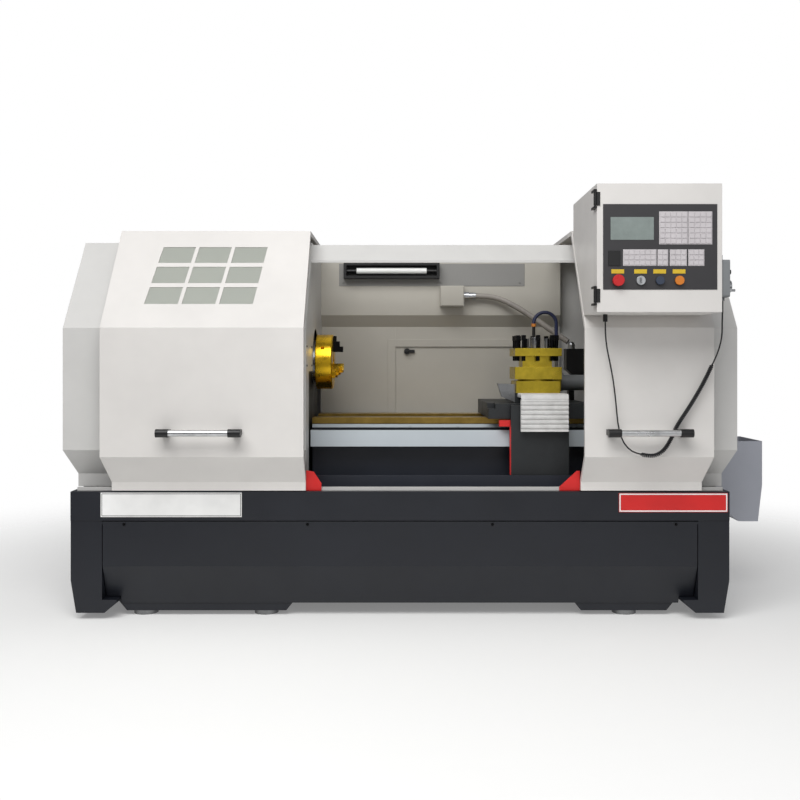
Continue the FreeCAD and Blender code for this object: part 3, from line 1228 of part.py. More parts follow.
def build_turret_head():
    half = POST_SIDE / 2
    low, slot_low, slot_high, top = POST_Z
    neck = cyl_z(low - POST_LIFT + SLIDE_GAP, low, POST_X, POST_Y, POST_NECK_R)
    tiers = [square_z(half, low, slot_low), square_z(half - POST_SLOT, slot_low, slot_high)]
    cuts = []
    bolts = []
    shank_z = (slot_low + CLAMP_TIP, CLAMP_HEAD_Z[0])
    for turn in (0, 90, 180, 270):
        c = math.cos(math.radians(turn))
        s = math.sin(math.radians(turn))
        out = half - CLAMP_BOLT_IN
        for along in CLAMP_BOLT_ALONG:
            x = POST_X + out * c - along * s
            y = POST_Y + out * s + along * c
            cuts.append(cyl_z(slot_high - 1, top + 1, x, y, CLAMP_BOLT_R))
            h = CLAMP_HEAD / 2
            head = box(x - h, x + h, y - h, y + h, *CLAMP_HEAD_Z)
            bolts.append(cyl_z(*shank_z, x, y, CLAMP_BOLT_R).fuse(head))
        place = V(POST_X + half * c, POST_Y + half * s, EYE_Z)
        cuts.append(Part.makeCylinder(EYE_R, 5, place, V(-c, -s, 0)))
    nodes["turret_head"] = join([neck, *tiers, square_z(half, slot_high, top)]).cut(cuts)
    nodes["turret_bolts"] = Part.makeCompound(bolts)
    studs = [(POST_X + side * STUD_OFFSET, POST_Y - STUD_OFFSET) for side in (-1, 1)]
    posts = [cyl_z(top, top + STUD_HIGH, x, y, STUD_R) for x, y in studs]
    posts.append(cyl_z(top, top + CAP_HIGH, POST_X, POST_Y, CAP_R))
    nodes["turret_posts"] = Part.makeCompound(posts)


def build_coolant_hose():
    """Standpipe on the gearbox, hose arch and nozzle over the turret."""
    riser_x = HOSE_X + HOSE_BEND
    drop_x = HOSE_X - HOSE_BEND
    low, high = HOSE_FITTING_Z
    pipe = cyl_z(GEARBOX_TOP, low, riser_x, HOSE_Y, HOSE_PIPE_R)
    first = pipe.fuse(cyl_z(low, high, riser_x, HOSE_Y, HOSE_FITTING_R))
    drop_z = HOSE_Z - NOZZLE_FITTING
    second = cyl_z(drop_z, HOSE_Z, drop_x, HOSE_Y, HOSE_FITTING_R)
    nodes["coolant_fittings"] = Part.makeCompound([first, second])
    arch = Part.makeTorus(HOSE_BEND, HOSE_R, V(HOSE_X, HOSE_Y, HOSE_Z), V(0, 1, 0))
    reach = HOSE_BEND + HOSE_R + 1
    upper_half = (HOSE_Y - reach, HOSE_Y + reach, HOSE_Z, HOSE_Z + reach)
    arch = arch.common(box(HOSE_X - reach, HOSE_X + reach, *upper_half))
    nodes["coolant_hose"] = arch.fuse(cyl_z(high, HOSE_Z, riser_x, HOSE_Y, HOSE_R))
    tip_z = drop_z - NOZZLE
    nozzle = cyl_z(tip_z, drop_z, drop_x, HOSE_Y, HOSE_PIPE_R)
    tip = Part.makeCone(NOZZLE_TIP_R, HOSE_PIPE_R, NOZZLE_TIP, V(drop_x, HOSE_Y, tip_z - NOZZLE_TIP))
    nodes["coolant_nozzle"] = nozzle.fuse(tip)


# ---------------------------------------------------------------- tailstock


def build_tailstock():
    under = WAY_TOP + SLIDE_GAP
    between = (FRONT_WAY[1] + SLIDE_GAP, REAR_WAY[0] - SLIDE_GAP)
    base = box(*TAIL_X, *TAIL_Y, under, TAIL_BASE_TOP)
    keel_z = (WAY_TOP - WAY_DEEP + SADDLE_KEEL, under)
    keel = box(*inwards(TAIL_X, TAIL_INSET), *between, *keel_z)
    low, high = TAIL_WEB
    web_line = [(-low, TAIL_BASE_TOP), (low, TAIL_BASE_TOP), (high, SPINDLE_Z), (-high, SPINDLE_Z)]
    end = TAIL_X[1] - TAIL_INSET
    web = prism_x(web_line, TAIL_X[0] + TAIL_INSET / 2, end)
    nose = TAIL_X[0] - TAIL_INSET / 2
    barrel = cyl_x(nose, end, 0, SPINDLE_Z, BARREL_R)
    bore_end = TAIL_X[1] - QUILL_BACK
    bore = cyl_x(nose - 1, bore_end, 0, SPINDLE_Z, QUILL_R + RUN_GAP)
    neck_bore = cyl_x(bore_end - 1, end + 1, 0, SPINDLE_Z, TAIL_NECK_R + RUN_GAP)
    nodes["tailstock"] = join([base, keel, web, barrel]).cut([bore, neck_bore])
    quill_x = (TAIL_X[0] - QUILL_OUT, TAIL_X[1] - QUILL_END)
    quill = cyl_x(*quill_x, 0, SPINDLE_Z, QUILL_R)
    thread_x = TAIL_X[0] + 40
    thread = cyl_x(thread_x, quill_x[1] + 1, 0, SPINDLE_Z, TAIL_SCREW_R + SOFT_GAP)
    nodes["quill"] = quill.cut(thread)
    body_x = quill_x[0] - CENTRE_BODY
    point = V(body_x - CENTRE_CONE, 0, SPINDLE_Z)
    cone = Part.makeCone(0.5, CENTRE_R, CENTRE_CONE, point, V(1, 0, 0))
    nodes["live_centre"] = cone.fuse(cyl_x(body_x, quill_x[0], 0, SPINDLE_Z, CENTRE_BODY_R))
    wheel_x = TAIL_X[1] + 12
    rim = Part.makeTorus(TAIL_WHEEL_R, TAIL_RIM_R, V(wheel_x, 0, SPINDLE_Z), V(1, 0, 0))
    spoke_x = (wheel_x - 5, wheel_x + 5)
    tall = (SPINDLE_Z - TAIL_WHEEL_R, SPINDLE_Z + TAIL_WHEEL_R)
    flat = (SPINDLE_Z - SPOKE_HALF, SPINDLE_Z + SPOKE_HALF)
    parts = [
        rim,
        box(*spoke_x, -TAIL_WHEEL_R, TAIL_WHEEL_R, *flat),
        box(*spoke_x, -SPOKE_HALF, SPOKE_HALF, *tall),
        cyl_x(end + 0.5, wheel_x + 10, 0, SPINDLE_Z, TAIL_HUB_R),
        cyl_x(thread_x + 20, end + 1, 0, SPINDLE_Z, TAIL_SCREW_R),
        cyl_x(bore_end, end + 1, 0, SPINDLE_Z, TAIL_NECK_R),
        cyl_x(wheel_x, wheel_x + 63, 0, SPINDLE_Z + TAIL_WHEEL_R, TAIL_GRIP_R),
    ]
    nodes["tail_handwheel"] = join(parts)


# ---------------------------------------------------------------- doors


def door_line(extra):
    """The door's side profile from its lower edge to the back of its roof."""
    return [
        (DOOR_SKIRT_Y, DOOR_BOTTOM - extra),
        (DOOR_SKIRT_Y, DOOR_SKIRT_TOP),
        (DOOR_FRONT, DOOR_FACE_BOTTOM),
        (DOOR_FRONT, DOOR_FACE_TOP),
        (DOOR_SLOPE_Y, DOOR_TOP),
        (HOOD_REAR + extra, DOOR_TOP),
    ]


def door_outline(span, outer, inset):
    """Front outline, with the lower outer corner drawn in."""
    x0, x1 = span
    low = 0 if outer > 0 else DOOR_MITRE
    high = DOOR_MITRE if outer > 0 else 0
    loop = [
        (x0 + low, DOOR_BOTTOM - 10),
        (x1 - high, DOOR_BOTTOM - 10),
        (x1 - high, DOOR_SKIRT_TOP),
        (x1, DOOR_FACE_BOTTOM),
        (x1, DOOR_TOP + 10),
        (x0, DOOR_TOP + 10),
        (x0, DOOR_FACE_BOTTOM),
        (x0 + low, DOOR_SKIRT_TOP),
    ]
    return offset_loop(loop, inset)


def door(span, outer):
    """A bent sheet with return flanges along both ends."""
    outside = prism_x(strip(door_line(0), -DOOR_FLANGE), *span)
    outside = outside.common(prism_y(door_outline(span, outer, 0), DOOR_FRONT - 5, HOOD_REAR + 5))
    inner_line = offset_line(door_line(20), -SHEET)
    inside = prism_x(strip(inner_line, -DOOR_FLANGE), *inwards(span, -5))
    inside = inside.common(prism_y(door_outline(span, outer, SHEET), DOOR_FRONT - 5, HOOD_REAR + 25))
    return outside.cut(inside)


def roller_places(span):
    """Lower front and upper rear roller axles: X, Y and height."""
    low_z = TRACK_TOP + SOFT_GAP + ROLLER_R
    high_z = HOOD_TOP + RAIL_HIGH + SOFT_GAP + ROLLER_R
    ends = inwards(span, ROLLER_IN)
    return [(x, LOW_ROLLER_Y, low_z) for x in ends] + [(x, BACK_Y, high_z) for x in ends]


def door_axles(span):
    """Brackets and axles inside the door for its rollers."""
    parts = []
    for x, y, z in roller_places(span):
        across = (x - AXLE_PLATE_HALF, x + AXLE_PLATE_HALF)
        if z < DOOR_SKIRT_TOP:
            plate = box(*across, DOOR_SKIRT_Y + SHEET, y - AXLE_HALF, z - AXLE_HALF, z + 12)
        else:
            plate_y = (y + AXLE_HALF, y + AXLE_HALF + AXLE_PLATE)
            plate = box(*across, *plate_y, z - AXLE_HALF, DOOR_TOP - SHEET)
        parts.append(plate.fuse(cyl_y(y - AXLE_HALF, y + AXLE_HALF, x, z, AXLE_R)))
    return parts


def door_rollers(span):
    rollers = []
    half = ROLLER_WIDE / 2
    for x, y, z in roller_places(span):
        wheel = cyl_y(y - half, y + half, x, z, ROLLER_R)
        rollers.append(wheel.cut(cyl_y(y - half - 1, y + half + 1, x, z, AXLE_R + RUN_GAP)))
    return Part.makeCompound(rollers)


def slope_point(x, along, out):
    """A point on the doors' upper slope: X, distance up the slope, distance outwards."""
    rise = DOOR_TOP - DOOR_FACE_TOP
    run = DOOR_SLOPE_Y - DOOR_FRONT
    length = math.hypot(rise, run)
    u = (run / length, rise / length)
    n = (-u[1], u[0])
    return V(x, DOOR_FRONT + u[0] * along + n[0] * out, DOOR_FACE_TOP + u[1] * along + n[1] * out)


def pane(span, low, high, out0, out1):
    """A sheared panel in the slope's plane."""
    corners = [(span[0], low), (span[1], low), (span[1], high), (span[0], high)]
    points = [slope_point(x + PANE_SHEAR * (a - PANE_START), a, out0) for x, a in corners]
    return solid_of(points, slope_point(0, 0, out1) - slope_point(0, 0, out0))


def handle(span):
    """A round bar held at both ends by mounts on the door's face."""
    bar = cyl_x(*span, HANDLE_Y, HANDLE_Z, HANDLE_R)
    mounts = []
    leg_z = (HANDLE_Z - HANDLE_LEG, HANDLE_Z + HANDLE_LEG)
    for x in (span[0] - HANDLE_SLEEVE, span[1] + HANDLE_SLEEVE - HANDLE_MOUNT):
        end = x + HANDLE_MOUNT
        sleeve = cyl_x(x, end, HANDLE_Y, HANDLE_Z, HANDLE_R + HANDLE_SLEEVE)
        leg_x = inwards((x, end), HANDLE_LEG_INSET)
        mounts.append(sleeve.fuse(box(*leg_x, HANDLE_Y, DOOR_FRONT, *leg_z)).cut(bar))
    return bar, Part.makeCompound(mounts)


def corner_guard(corners, door_end, lug_x, strap_x, plate_y):
    """A flat guard behind a door's skirt, held by a strap and a lug on the skirt."""
    points = [(door_end + dx, BASE_TOP + dz) for dx, dz in corners]
    points += [(points[-1][0], GUARD_BOTTOM), (door_end, GUARD_BOTTOM)]
    plate_span = (plate_y, plate_y + GUARD)
    plate = prism_y(points, *plate_span)
    strap = box(*strap_x, *plate_span, *GUARD_LUG_Z)
    lug = box(*lug_x, DOOR_SKIRT_Y + SHEET, plate_y, *GUARD_LUG_Z)
    return join([plate, strap, lug])


def build_left_door():
    sheet = join([door(LEFT_DOOR, -1)] + door_axles(LEFT_DOOR))
    cuts = []
    for row in range(PANE_COUNT):
        low = PANE_START + row * PANE_PITCH
        for column in range(PANE_COUNT):
            x = PANE_X + column * PANE_PITCH_X
            cuts.append(pane((x, x + PANE_WIDE), low, low + PANE_LONG, -SHEET - 1, 1))
    nodes["left_door"] = sheet.cut(cuts)
    right = PANE_X + (PANE_COUNT - 1) * PANE_PITCH_X + PANE_WIDE
    top = PANE_START + (PANE_COUNT - 1) * PANE_PITCH + PANE_LONG
    glass_x = inwards((PANE_X, right), -GLASS_LAP)
    back = -SHEET - GLASS
    nodes["window_glass"] = pane(glass_x, PANE_START - GLASS_LAP, top + GLASS_LAP, back, -SHEET)
    nodes["left_door_rollers"] = door_rollers(LEFT_DOOR)
    nodes["left_door_handle"], nodes["left_handle_mounts"] = handle(LEFT_HANDLE)
    end = LEFT_DOOR[1]
    lug_x = (LEFT_LUG_X, LEFT_LUG_X + LUG_WIDE)
    strap_x = (LEFT_LUG_X, end)
    guard = corner_guard(LEFT_GUARD, end, lug_x, strap_x, LEFT_GUARD_Y)
    nodes["left_corner_guard"] = guard


def build_right_door():
    nodes["right_door"] = join([door(RIGHT_DOOR, 1)] + door_axles(RIGHT_DOOR))
    nodes["right_door_rollers"] = door_rollers(RIGHT_DOOR)
    nodes["right_door_handle"], nodes["right_handle_mounts"] = handle(RIGHT_HANDLE)
    end = RIGHT_DOOR[0]
    lug_x = (RIGHT_LUG_X - LUG_WIDE, RIGHT_LUG_X)
    strap_x = (end, RIGHT_LUG_X)
    guard = corner_guard(RIGHT_GUARD, end, lug_x, strap_x, RIGHT_GUARD_Y)
    nodes["right_corner_guard"] = guard


# ---------------------------------------------------------------- control box


def box_section():
    """Side section of the control box behind its lid; its back lies on the door's slope."""
    lean = (DOOR_SLOPE_Y - DOOR_FRONT) / (DOOR_TOP - DOOR_FACE_TOP)
    low_y = DOOR_FRONT + (BOX_Z[0] - DOOR_FACE_TOP) * lean
    rear_z = DOOR_FACE_TOP + (BOX_REAR - DOOR_FRONT) / lean
    front = BOX_FRONT + BOX_LID
    return [
        (front, BOX_Z[0]),
        (low_y, BOX_Z[0]),
        (BOX_REAR, rear_z),
        (BOX_REAR, BOX_Z[1]),
        (front, BOX_Z[1]),
    ]


def control_box():
    """Flat plates: bottom, back, rear and top, a rim round the mouth, and two ends."""
    section = box_section()
    inside = offset_loop(section, BOX_WALL)
    between = inwards(BOX_X, BOX_WALL)
    faces = [prism_x(band, *between) for band in bands(closed(section), closed(inside))]
    mouth_y = (BOX_FRONT + BOX_LID - 1, BOX_FRONT + BOX_LID + BOX_WALL + 1)
    rim = frame_xz(BOX_X, BOX_Z, inwards(BOX_X, BOX_RIM), inwards(BOX_Z, BOX_RIM), *mouth_y)
    plates = faces[:-1] + [faces[-1].common(part) for part in rim]
    plates.append(prism_x(section, BOX_X[0], between[0]))
    plates.append(prism_x(section, between[1], BOX_X[1]))
    return plates


def lid_hinges():
    """Leaves on the lid, and pins held by arms on the box."""
    leaves = []
    pins = []
    behind = BOX_FRONT + BOX_LID
    for z in LID_HINGE_Z:
        span = (z - LID_HINGE_HALF, z + LID_HINGE_HALF)
        place = (LID_HINGE_X, LID_HINGE_Y)
        leaf_x = (LID_HINGE_X - HINGE_R, BOX_X[0] + 12)
        leaf = box(*leaf_x, BOX_FRONT - HINGE_LEAF, BOX_FRONT, *span)
        barrel = cyl_z(*span, *place, HINGE_R)
        bore = cyl_z(*inwards(span, -1), *place, HINGE_PIN_R + RUN_GAP)
        leaves.append(barrel.fuse(leaf).cut(bore))
        low = span[0] - 2
        high = span[1] + 2
        pin = [cyl_z(low - HINGE_ARM, high + HINGE_ARM, *place, HINGE_PIN_R)]
        for arm_z in ((low - HINGE_ARM, low), (high, high + HINGE_ARM)):
            edge = LID_HINGE_X - 5
            pin.append(cyl_z(*arm_z, *place, HINGE_R - 0.5))
            pin.append(box(edge, BOX_X[0] - SOFT_GAP, LID_HINGE_Y, behind, *arm_z))
            pin.append(box(edge, BOX_X[0], behind, behind + 30, *arm_z))
        pins.append(join(pin))
    nodes["lid_hinge_leaves"] = Part.makeCompound(leaves)
    nodes["lid_hinge_pins"] = Part.makeCompound(pins)


def button_x(name):
    return PANEL_X[0] + BUTTONS[name][0]


def build_control_box():
    nodes["control_box"] = Part.makeCompound(control_box())
    lid_hinges()
    inside = BOX_FRONT + BOX_WALL
    back = BOX_FRONT + BOX_LID - SLIDE_GAP
    hole_y = (BOX_FRONT - PANEL - 1, inside + 1)
    holes = [cyl_y(*hole_y, button_x(name), BUTTON_Z, STEM_R + RUN_GAP) for name in BUTTONS]
    face = box(*BOX_X, BOX_FRONT, inside, *BOX_Z).cut(holes)
    wall = (inwards(BOX_X, BOX_WALL), inwards(BOX_Z, BOX_WALL))
    nodes["box_lid"] = Part.makeCompound([face] + frame_xz(BOX_X, BOX_Z, *wall, inside, back))
    front = BOX_FRONT - PANEL
    nodes["panel_plate"] = box(*PANEL_X, front, BOX_FRONT, *PANEL_Z).cut(holes)
    nodes["display"] = box(*DISPLAY_X, front - LABEL, front, *DISPLAY_Z)
    nodes["port_cover"] = box(*PORT_X, front - PORT, front, *PORT_Z)
    pads = [key_block((PANEL_X[0] + a, PANEL_X[0] + b), *rest, front) for a, b, *rest in KEY_PADS]
    nodes["keypads"] = Part.makeCompound(pads)
    tags = []
    for name in BUTTONS:
        span = (button_x(name) - TAG_HALF, button_x(name) + TAG_HALF)
        tags.append(box(*span, front - LABEL, front, BUTTON_Z + TAG_Z[0], BUTTON_Z + TAG_Z[1]))
        nodes[name] = button(name, front)
    nodes["button_tags"] = Part.makeCompound(tags)


def button(name, front):
    """A cap standing off the panel by its travel, on a stem through the lid."""
    x = button_x(name)
    turned = name == "key_switch"
    radius, high = BUTTONS[name][1:]
    face = front - (0.0 if turned else BUTTON_TRAVEL)
    cap = cyl_y(face - high, face - SLIDE_GAP, x, BUTTON_Z, radius)
    parts = [cap, cyl_y(face - 1, BOX_FRONT + BUTTON_TAIL, x, BUTTON_Z, STEM_R)]
    if turned:
        thick, out, tall = KEY_BOW
        bow_y = (front - high - out, front - high)
        parts.append(box(x - thick, x + thick, *bow_y, BUTTON_Z - tall, BUTTON_Z + tall))
    return join(parts)


def key_block(span_x, span_z, columns, rows, front):
    """A membrane pad with a grid of raised keys."""
    pad_front = front - KEY_PAD
    keys = [box(*span_x, pad_front, front, *span_z)]
    x0, x1 = inwards(span_x, KEY_MARGIN)
    z0, z1 = inwards(span_z, KEY_MARGIN)
    wide = (x1 - x0) / columns
    tall = (z1 - z0) / rows
    for i in range(columns):
        for j in range(rows):
            key_x = inwards((x0 + i * wide, x0 + (i + 1) * wide), KEY_GAP)
            key_z = inwards((z0 + j * tall, z0 + (j + 1) * tall), KEY_GAP)
            keys.append(box(*key_x, pad_front - KEY_HIGH, pad_front, *key_z))
    return join(keys)


# ---------------------------------------------------------------- pendant and its cord


def build_pendant():
    x0, x1 = PENDANT_X
    middle = sum(PENDANT_Y) / 2
    body = box(x0, x1, *PENDANT_Y, *PENDANT_Z)
    body = body.makeFillet(PENDANT_EDGE, [e for e in body.Edges if e.BoundBox.XLength > 20])
    half, below, above = PENDANT_HOOK
    hook_z = (PENDANT_Z[1] - below, PENDANT_Z[1] + above)
    hook = box(x0, x0 + PENDANT_EDGE, middle - half, middle + half, *hook_z)
    half, low, high = PENDANT_BRACKET
    bracket_z = (PENDANT_Z[0] + low, PENDANT_Z[0] + high)
    bracket = box(BOX_X[1], x0, middle - half, middle + half, *bracket_z)
    bore_x = (x1 - STEM_IN - 1, x1 + 1)
    wheel_bore = cyl_x(*bore_x, middle, WHEEL_Z, WHEEL_STEM_R + RUN_GAP)
    knob_bore = cyl_x(*bore_x, middle, KNOB_Z, KNOB_STEM_R + RUN_GAP)
    nodes["pendant"] = join([body, hook, bracket]).cut([wheel_bore, knob_bore])
    stem_x = (x1 - STEM_IN, x1 + STEM_OUT)
    wheel_end = x1 + 14
    wheel = [
        cyl_x(x1 + STEM_OUT, wheel_end, middle, WHEEL_Z, WHEEL_R),
        cyl_x(*stem_x, middle, WHEEL_Z, WHEEL_STEM_R),
        cyl_x(wheel_end, wheel_end + 18, middle, WHEEL_Z - CRANK_OFFSET, CRANK_R),
    ]
    nodes["pendant_wheel"] = join(wheel)
    knob = cyl_x(x1 + STEM_OUT, x1 + 15, middle, KNOB_Z, KNOB_R)
    nodes["pendant_knob"] = knob.fuse(cyl_x(*stem_x, middle, KNOB_Z, KNOB_STEM_R))
    x, y, z = LEAD_A[0]
    nodes["cord_gland"] = cyl_z(z, BOX_Z[0], x, y, CORD_GLAND_R)
    x, y, z = LEAD_B[-1]
    nodes["pendant_relief"] = cyl_z(z, PENDANT_Z[0], x, y, RELIEF_R)
    nodes["pendant_lead_lower"] = cord_tube(LEAD_A, LEAD_R)
    nodes["pendant_coil"] = cord_tube(COIL_LINE, COIL_R)
    nodes["pendant_lead_upper"] = cord_tube(LEAD_B, LEAD_R)
    nodes["conduit"] = cord_tube(CONDUIT, CONDUIT_R)


def cord_tube(route, radius):
    """A round tube along straight runs joined by tangent arcs."""
    points = [V(*p) for p in route]
    edges = []
    start = points[0]
    for before, here, after in zip(points, points[1:], points[2:]):
        a = here - before
        b = after - here
        turn = a.getAngle(b)
        reach = ROUND_SHARE * min(a.Length, b.Length)
        a.normalize()
        b.normalize()
        enter = here - a * reach
        leave = here + b * reach
        inward = b - a
        inward.normalize()
        depth = reach / math.tan(turn / 2) * (1 / math.cos(turn / 2) - 1)
        edges.append(Part.LineSegment(start, enter).toShape())
        edges.append(Part.Arc(enter, here + inward * depth, leave).toShape())
        start = leave
    edges.append(Part.LineSegment(start, points[-1]).toShape())
    circle = Part.Wire([Part.Circle(points[0], points[1] - points[0], radius).toShape()])
    return Part.Wire(edges).makePipeShell([circle], True, False)


# ---------------------------------------------------------------- tail guard and cabinet


def build_tail_guard():
    wall = TAIL_GUARD_WALL
    inner_y = inwards(TAIL_GUARD_Y, wall)
    shell = prism_y(TAIL_GUARD, *TAIL_GUARD_Y)
    shell = shell.cut(prism_y(offset_loop(TAIL_GUARD, wall), *inner_y))
    mouth_z = (TAIL_GUARD_TOP - 7, TAIL_GUARD_TOP + 1)
    nodes["tail_guard"] = shell.cut(box(HOOD_X + wall, TAIL_GUARD_END - wall, *inner_y, *mouth_z))
    x, y = PUMP
    half_x, half_y = PUMP_FOOT_HALF
    floor = TAIL_GUARD_BOTTOM[0] + wall
    body = floor + PUMP_FOOT
    cap = body + PUMP_HIGH
    parts = [
        box(x - half_x, x + half_x, y - half_y, y + half_y, floor, body),
        cyl_z(body, cap, x, y, PUMP_R),
        cyl_z(cap, cap + PUMP_CAP, x, y, PUMP_CAP_R),
    ]
    nodes["coolant_pump"] = join(parts)


def cabinet_hinges():
    """Knuckles on the cabinet's door, and pins held by arms on its side."""
    corner = CABINET_X[0]
    rear = CABINET_Y[1]
    x = corner - CABINET_HINGE
    y = rear + CABINET_HINGE
    knuckles = []
    pins = []
    for start in CABINET_HINGE_Z:
        low = CABINET_Z[0] + start
        span = (low, low + CABINET_HINGE_HIGH)
        tab = box(x, corner - 1, y, y + HINGE_R, *span)
        bore = cyl_z(*inwards(span, -1), x, y, CABINET_PIN_R + RUN_GAP)
        knuckles.append(cyl_z(*span, x, y, HINGE_R).fuse(tab).cut(bore))
        pin = [cyl_z(*inwards(span, -11), x, y, CABINET_PIN_R)]
        for arm_z in ((span[0] - 11, span[0] - 1), (span[1] + 1, span[1] + 11)):
            pin.append(cyl_z(*arm_z, x, y, HINGE_R - 0.5))
            pin.append(box(x - 4, corner - 1.5, rear, y, *arm_z))
            pin.append(box(x - 4, corner, rear - 40, rear, *arm_z))
        pins.append(join(pin))
    return knuckles, pins


def build_cabinet():
    x0, x1 = CABINET_X
    y0, y1 = CABINET_Y
    inner = (inwards(CABINET_X, CABINET_WALL), inwards(CABINET_Z, CABINET_WALL))
    mouth = (inwards(CABINET_X, CABINET_LIP), inwards(CABINET_Z, CABINET_LIP))
    lip_y = y1 - CABINET_WALL
    plates = [box(x0, x1, y0, y0 + CABINET_WALL, *CABINET_Z)]
    plates += frame_xz(CABINET_X, CABINET_Z, *inner, y0 + CABINET_WALL, lip_y)
    plates += frame_xz(CABINET_X, CABINET_Z, *mouth, lip_y, y1)
    for x in (x0 + 60, x1 - 60 - CABINET_BRACKET):
        plates.append(box(x, x + CABINET_BRACKET, HOOD_REAR, y0, *CABINET_BRACKET_Z))
    nodes["cabinet"] = Part.makeCompound(plates)
    door_x = inwards(CABINET_X, -1)
    door_z = inwards(CABINET_Z, -1)
    back = y1 + CABINET_DOOR
    face = back - CABINET_WALL
    rims = (inwards(door_x, CABINET_WALL), inwards(door_z, CABINET_WALL))
    knuckles, pins = cabinet_hinges()
    door_plates = [box(*door_x, face, back, *door_z)]
    door_plates += frame_xz(door_x, door_z, *rims, y1 + 0.5, face)
    nodes["cabinet_door"] = Part.makeCompound(door_plates + knuckles)
    nodes["cabinet_hinge_pins"] = Part.makeCompound(pins)
    wide, deep, tall = CABINET_PULL
    pull_x = (x1 - 40 - wide / 2, x1 - 40 + wide / 2)
    middle = sum(CABINET_Z) / 2
    pull_z = (middle - tall / 2, middle + tall / 2)
    nodes["cabinet_pull"] = box(*pull_x, back, back + deep, *pull_z)


# Pieces that are fastened to each other and share one STEP file
GROUPS = {
    "levelling_feet": ["levelling_pads", "levelling_bolts"],
    "name_plates": ["plain_white_plate", "plain_red_plate"],
    "left_hood": ["left_hood", "hood_screws"],
    "door_rails": ["header_rail", "rear_rail", "door_track"],
    "back_wall": ["back_wall", "hatch_frame", "lamp_plate", "hatch_hinge_pins"],
    "work_lamp": ["lamp_housing", "lamp_tube"],
    "junction_box": ["junction_box", "conduit_gland"],
    "headstock": ["headstock", "spindle_bearings"],
    "spindle": ["spindle", "spindle_pulley"],
    "bed": ["bed", "screw_blocks", "z_servo"],
    "screw_cover": ["screw_cover", "way_strip"],
    "saddle": ["saddle", "z_nut"],
    "apron": ["apron", "apron_guards"],
    "connection_box": ["connection_box", "conduit_elbow", "x_servo"],
    "cross_slide": ["cross_slide", "switch_bracket"],
    "turret_base": ["turret_base", "turret_motor"],
    "coolant_hose": ["coolant_hose", "coolant_fittings", "coolant_nozzle"],
    "turret_bolts": ["turret_bolts", "turret_posts"],
    "quill": ["quill", "live_centre"],
    "left_door_fittings": [
        "left_door_handle",
        "left_handle_mounts",
        "left_corner_guard",
        "left_door_rollers",
    ],
    "right_door_fittings": [
        "right_door_handle",
        "right_handle_mounts",
        "right_corner_guard",
        "right_door_rollers",
    ],
    "control_box": ["control_box", "lid_hinge_pins", "cord_gland"],
    "box_lid": ["box_lid", "lid_hinge_leaves"],
    "panel_plate": ["panel_plate", "display", "port_cover", "button_tags"],
    "pendant": ["pendant", "pendant_relief"],
    "pendant_cord": ["pendant_lead_lower", "pendant_coil", "pendant_lead_upper"],
    "tail_guard": ["tail_guard", "coolant_pump"],
    "cabinet": ["cabinet", "cabinet_hinge_pins"],
    "cabinet_door": ["cabinet_door", "cabinet_pull"],
}
CORDS = ("pendant_cord", "conduit")


def grouped():
    """One compound for each STEP file."""
    owner = {piece: name for name, pieces in GROUPS.items() for piece in pieces}
    files = {}
    for piece, shape in nodes.items():
        files.setdefault(owner.get(piece, piece), []).append(shape)
    return {name: shapes[0] if len(shapes) == 1 else Part.makeCompound(shapes)
            for name, shapes in files.items()}


def main():
    os.makedirs("parts", exist_ok=True)
    build_base()
    build_hoods()
    build_rails()
    build_back_wall()
    build_lamp()
    build_headstock()
    build_chuck()
    build_drive()
    build_bed()
    build_z_drive()
    build_saddle()
    build_bellows()
    build_connection_box()
    build_cross_slide()
    build_turret_base()
    build_turret_head()
    build_coolant_hose()
    build_tailstock()
    build_left_door()
    build_right_door()
    build_control_box()
    build_pendant()
    build_tail_guard()
    build_cabinet()
    files = grouped()
    whole = FreeCAD.BoundBox()
    for name, shape in files.items():
        if name not in CORDS:
            whole.add(shape.BoundBox)
    shift = V(-(whole.XMin + whole.XMax) / 2, -(whole.YMin + whole.YMax) / 2, -whole.ZMin)
    print("shift", [round(c, 3) for c in shift], "files", len(files))
    for name, shape in files.items():
        if not shape.isValid():
            print("INVALID", name)
        moved = shape.copy()
        moved.translate(shift)
        moved.exportStep("parts/%s.step" % name)


main()
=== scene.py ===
"""Looks of an enclosed CNC turning lathe: finishes, cords, bellows, coolant hose, stage and camera."""

import math

import bpy
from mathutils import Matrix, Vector


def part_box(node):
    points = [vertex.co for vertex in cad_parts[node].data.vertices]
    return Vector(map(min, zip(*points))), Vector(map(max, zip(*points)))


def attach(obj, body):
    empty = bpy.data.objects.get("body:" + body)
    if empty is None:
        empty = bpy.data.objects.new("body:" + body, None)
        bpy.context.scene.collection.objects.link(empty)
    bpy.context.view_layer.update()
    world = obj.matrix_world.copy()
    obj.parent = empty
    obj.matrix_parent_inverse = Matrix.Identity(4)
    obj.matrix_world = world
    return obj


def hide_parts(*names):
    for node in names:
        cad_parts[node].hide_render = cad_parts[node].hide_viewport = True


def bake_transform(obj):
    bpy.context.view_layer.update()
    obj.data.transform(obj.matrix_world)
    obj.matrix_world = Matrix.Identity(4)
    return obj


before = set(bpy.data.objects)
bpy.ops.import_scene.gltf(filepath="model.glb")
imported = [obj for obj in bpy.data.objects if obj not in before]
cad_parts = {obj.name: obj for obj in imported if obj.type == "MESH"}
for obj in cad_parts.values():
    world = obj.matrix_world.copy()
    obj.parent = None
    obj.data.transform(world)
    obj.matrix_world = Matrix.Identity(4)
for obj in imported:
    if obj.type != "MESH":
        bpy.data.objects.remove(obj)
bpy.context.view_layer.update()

bl_info = {
    "name": "Turning Lathe Looks",
    "version": (1, 0, 0),
    "blender": (4, 5, 0),
    "location": "View3D > Sidebar > Lathe",
    "description": "Finishes and modelled details for a CNC turning lathe",
    "category": "Object",
}


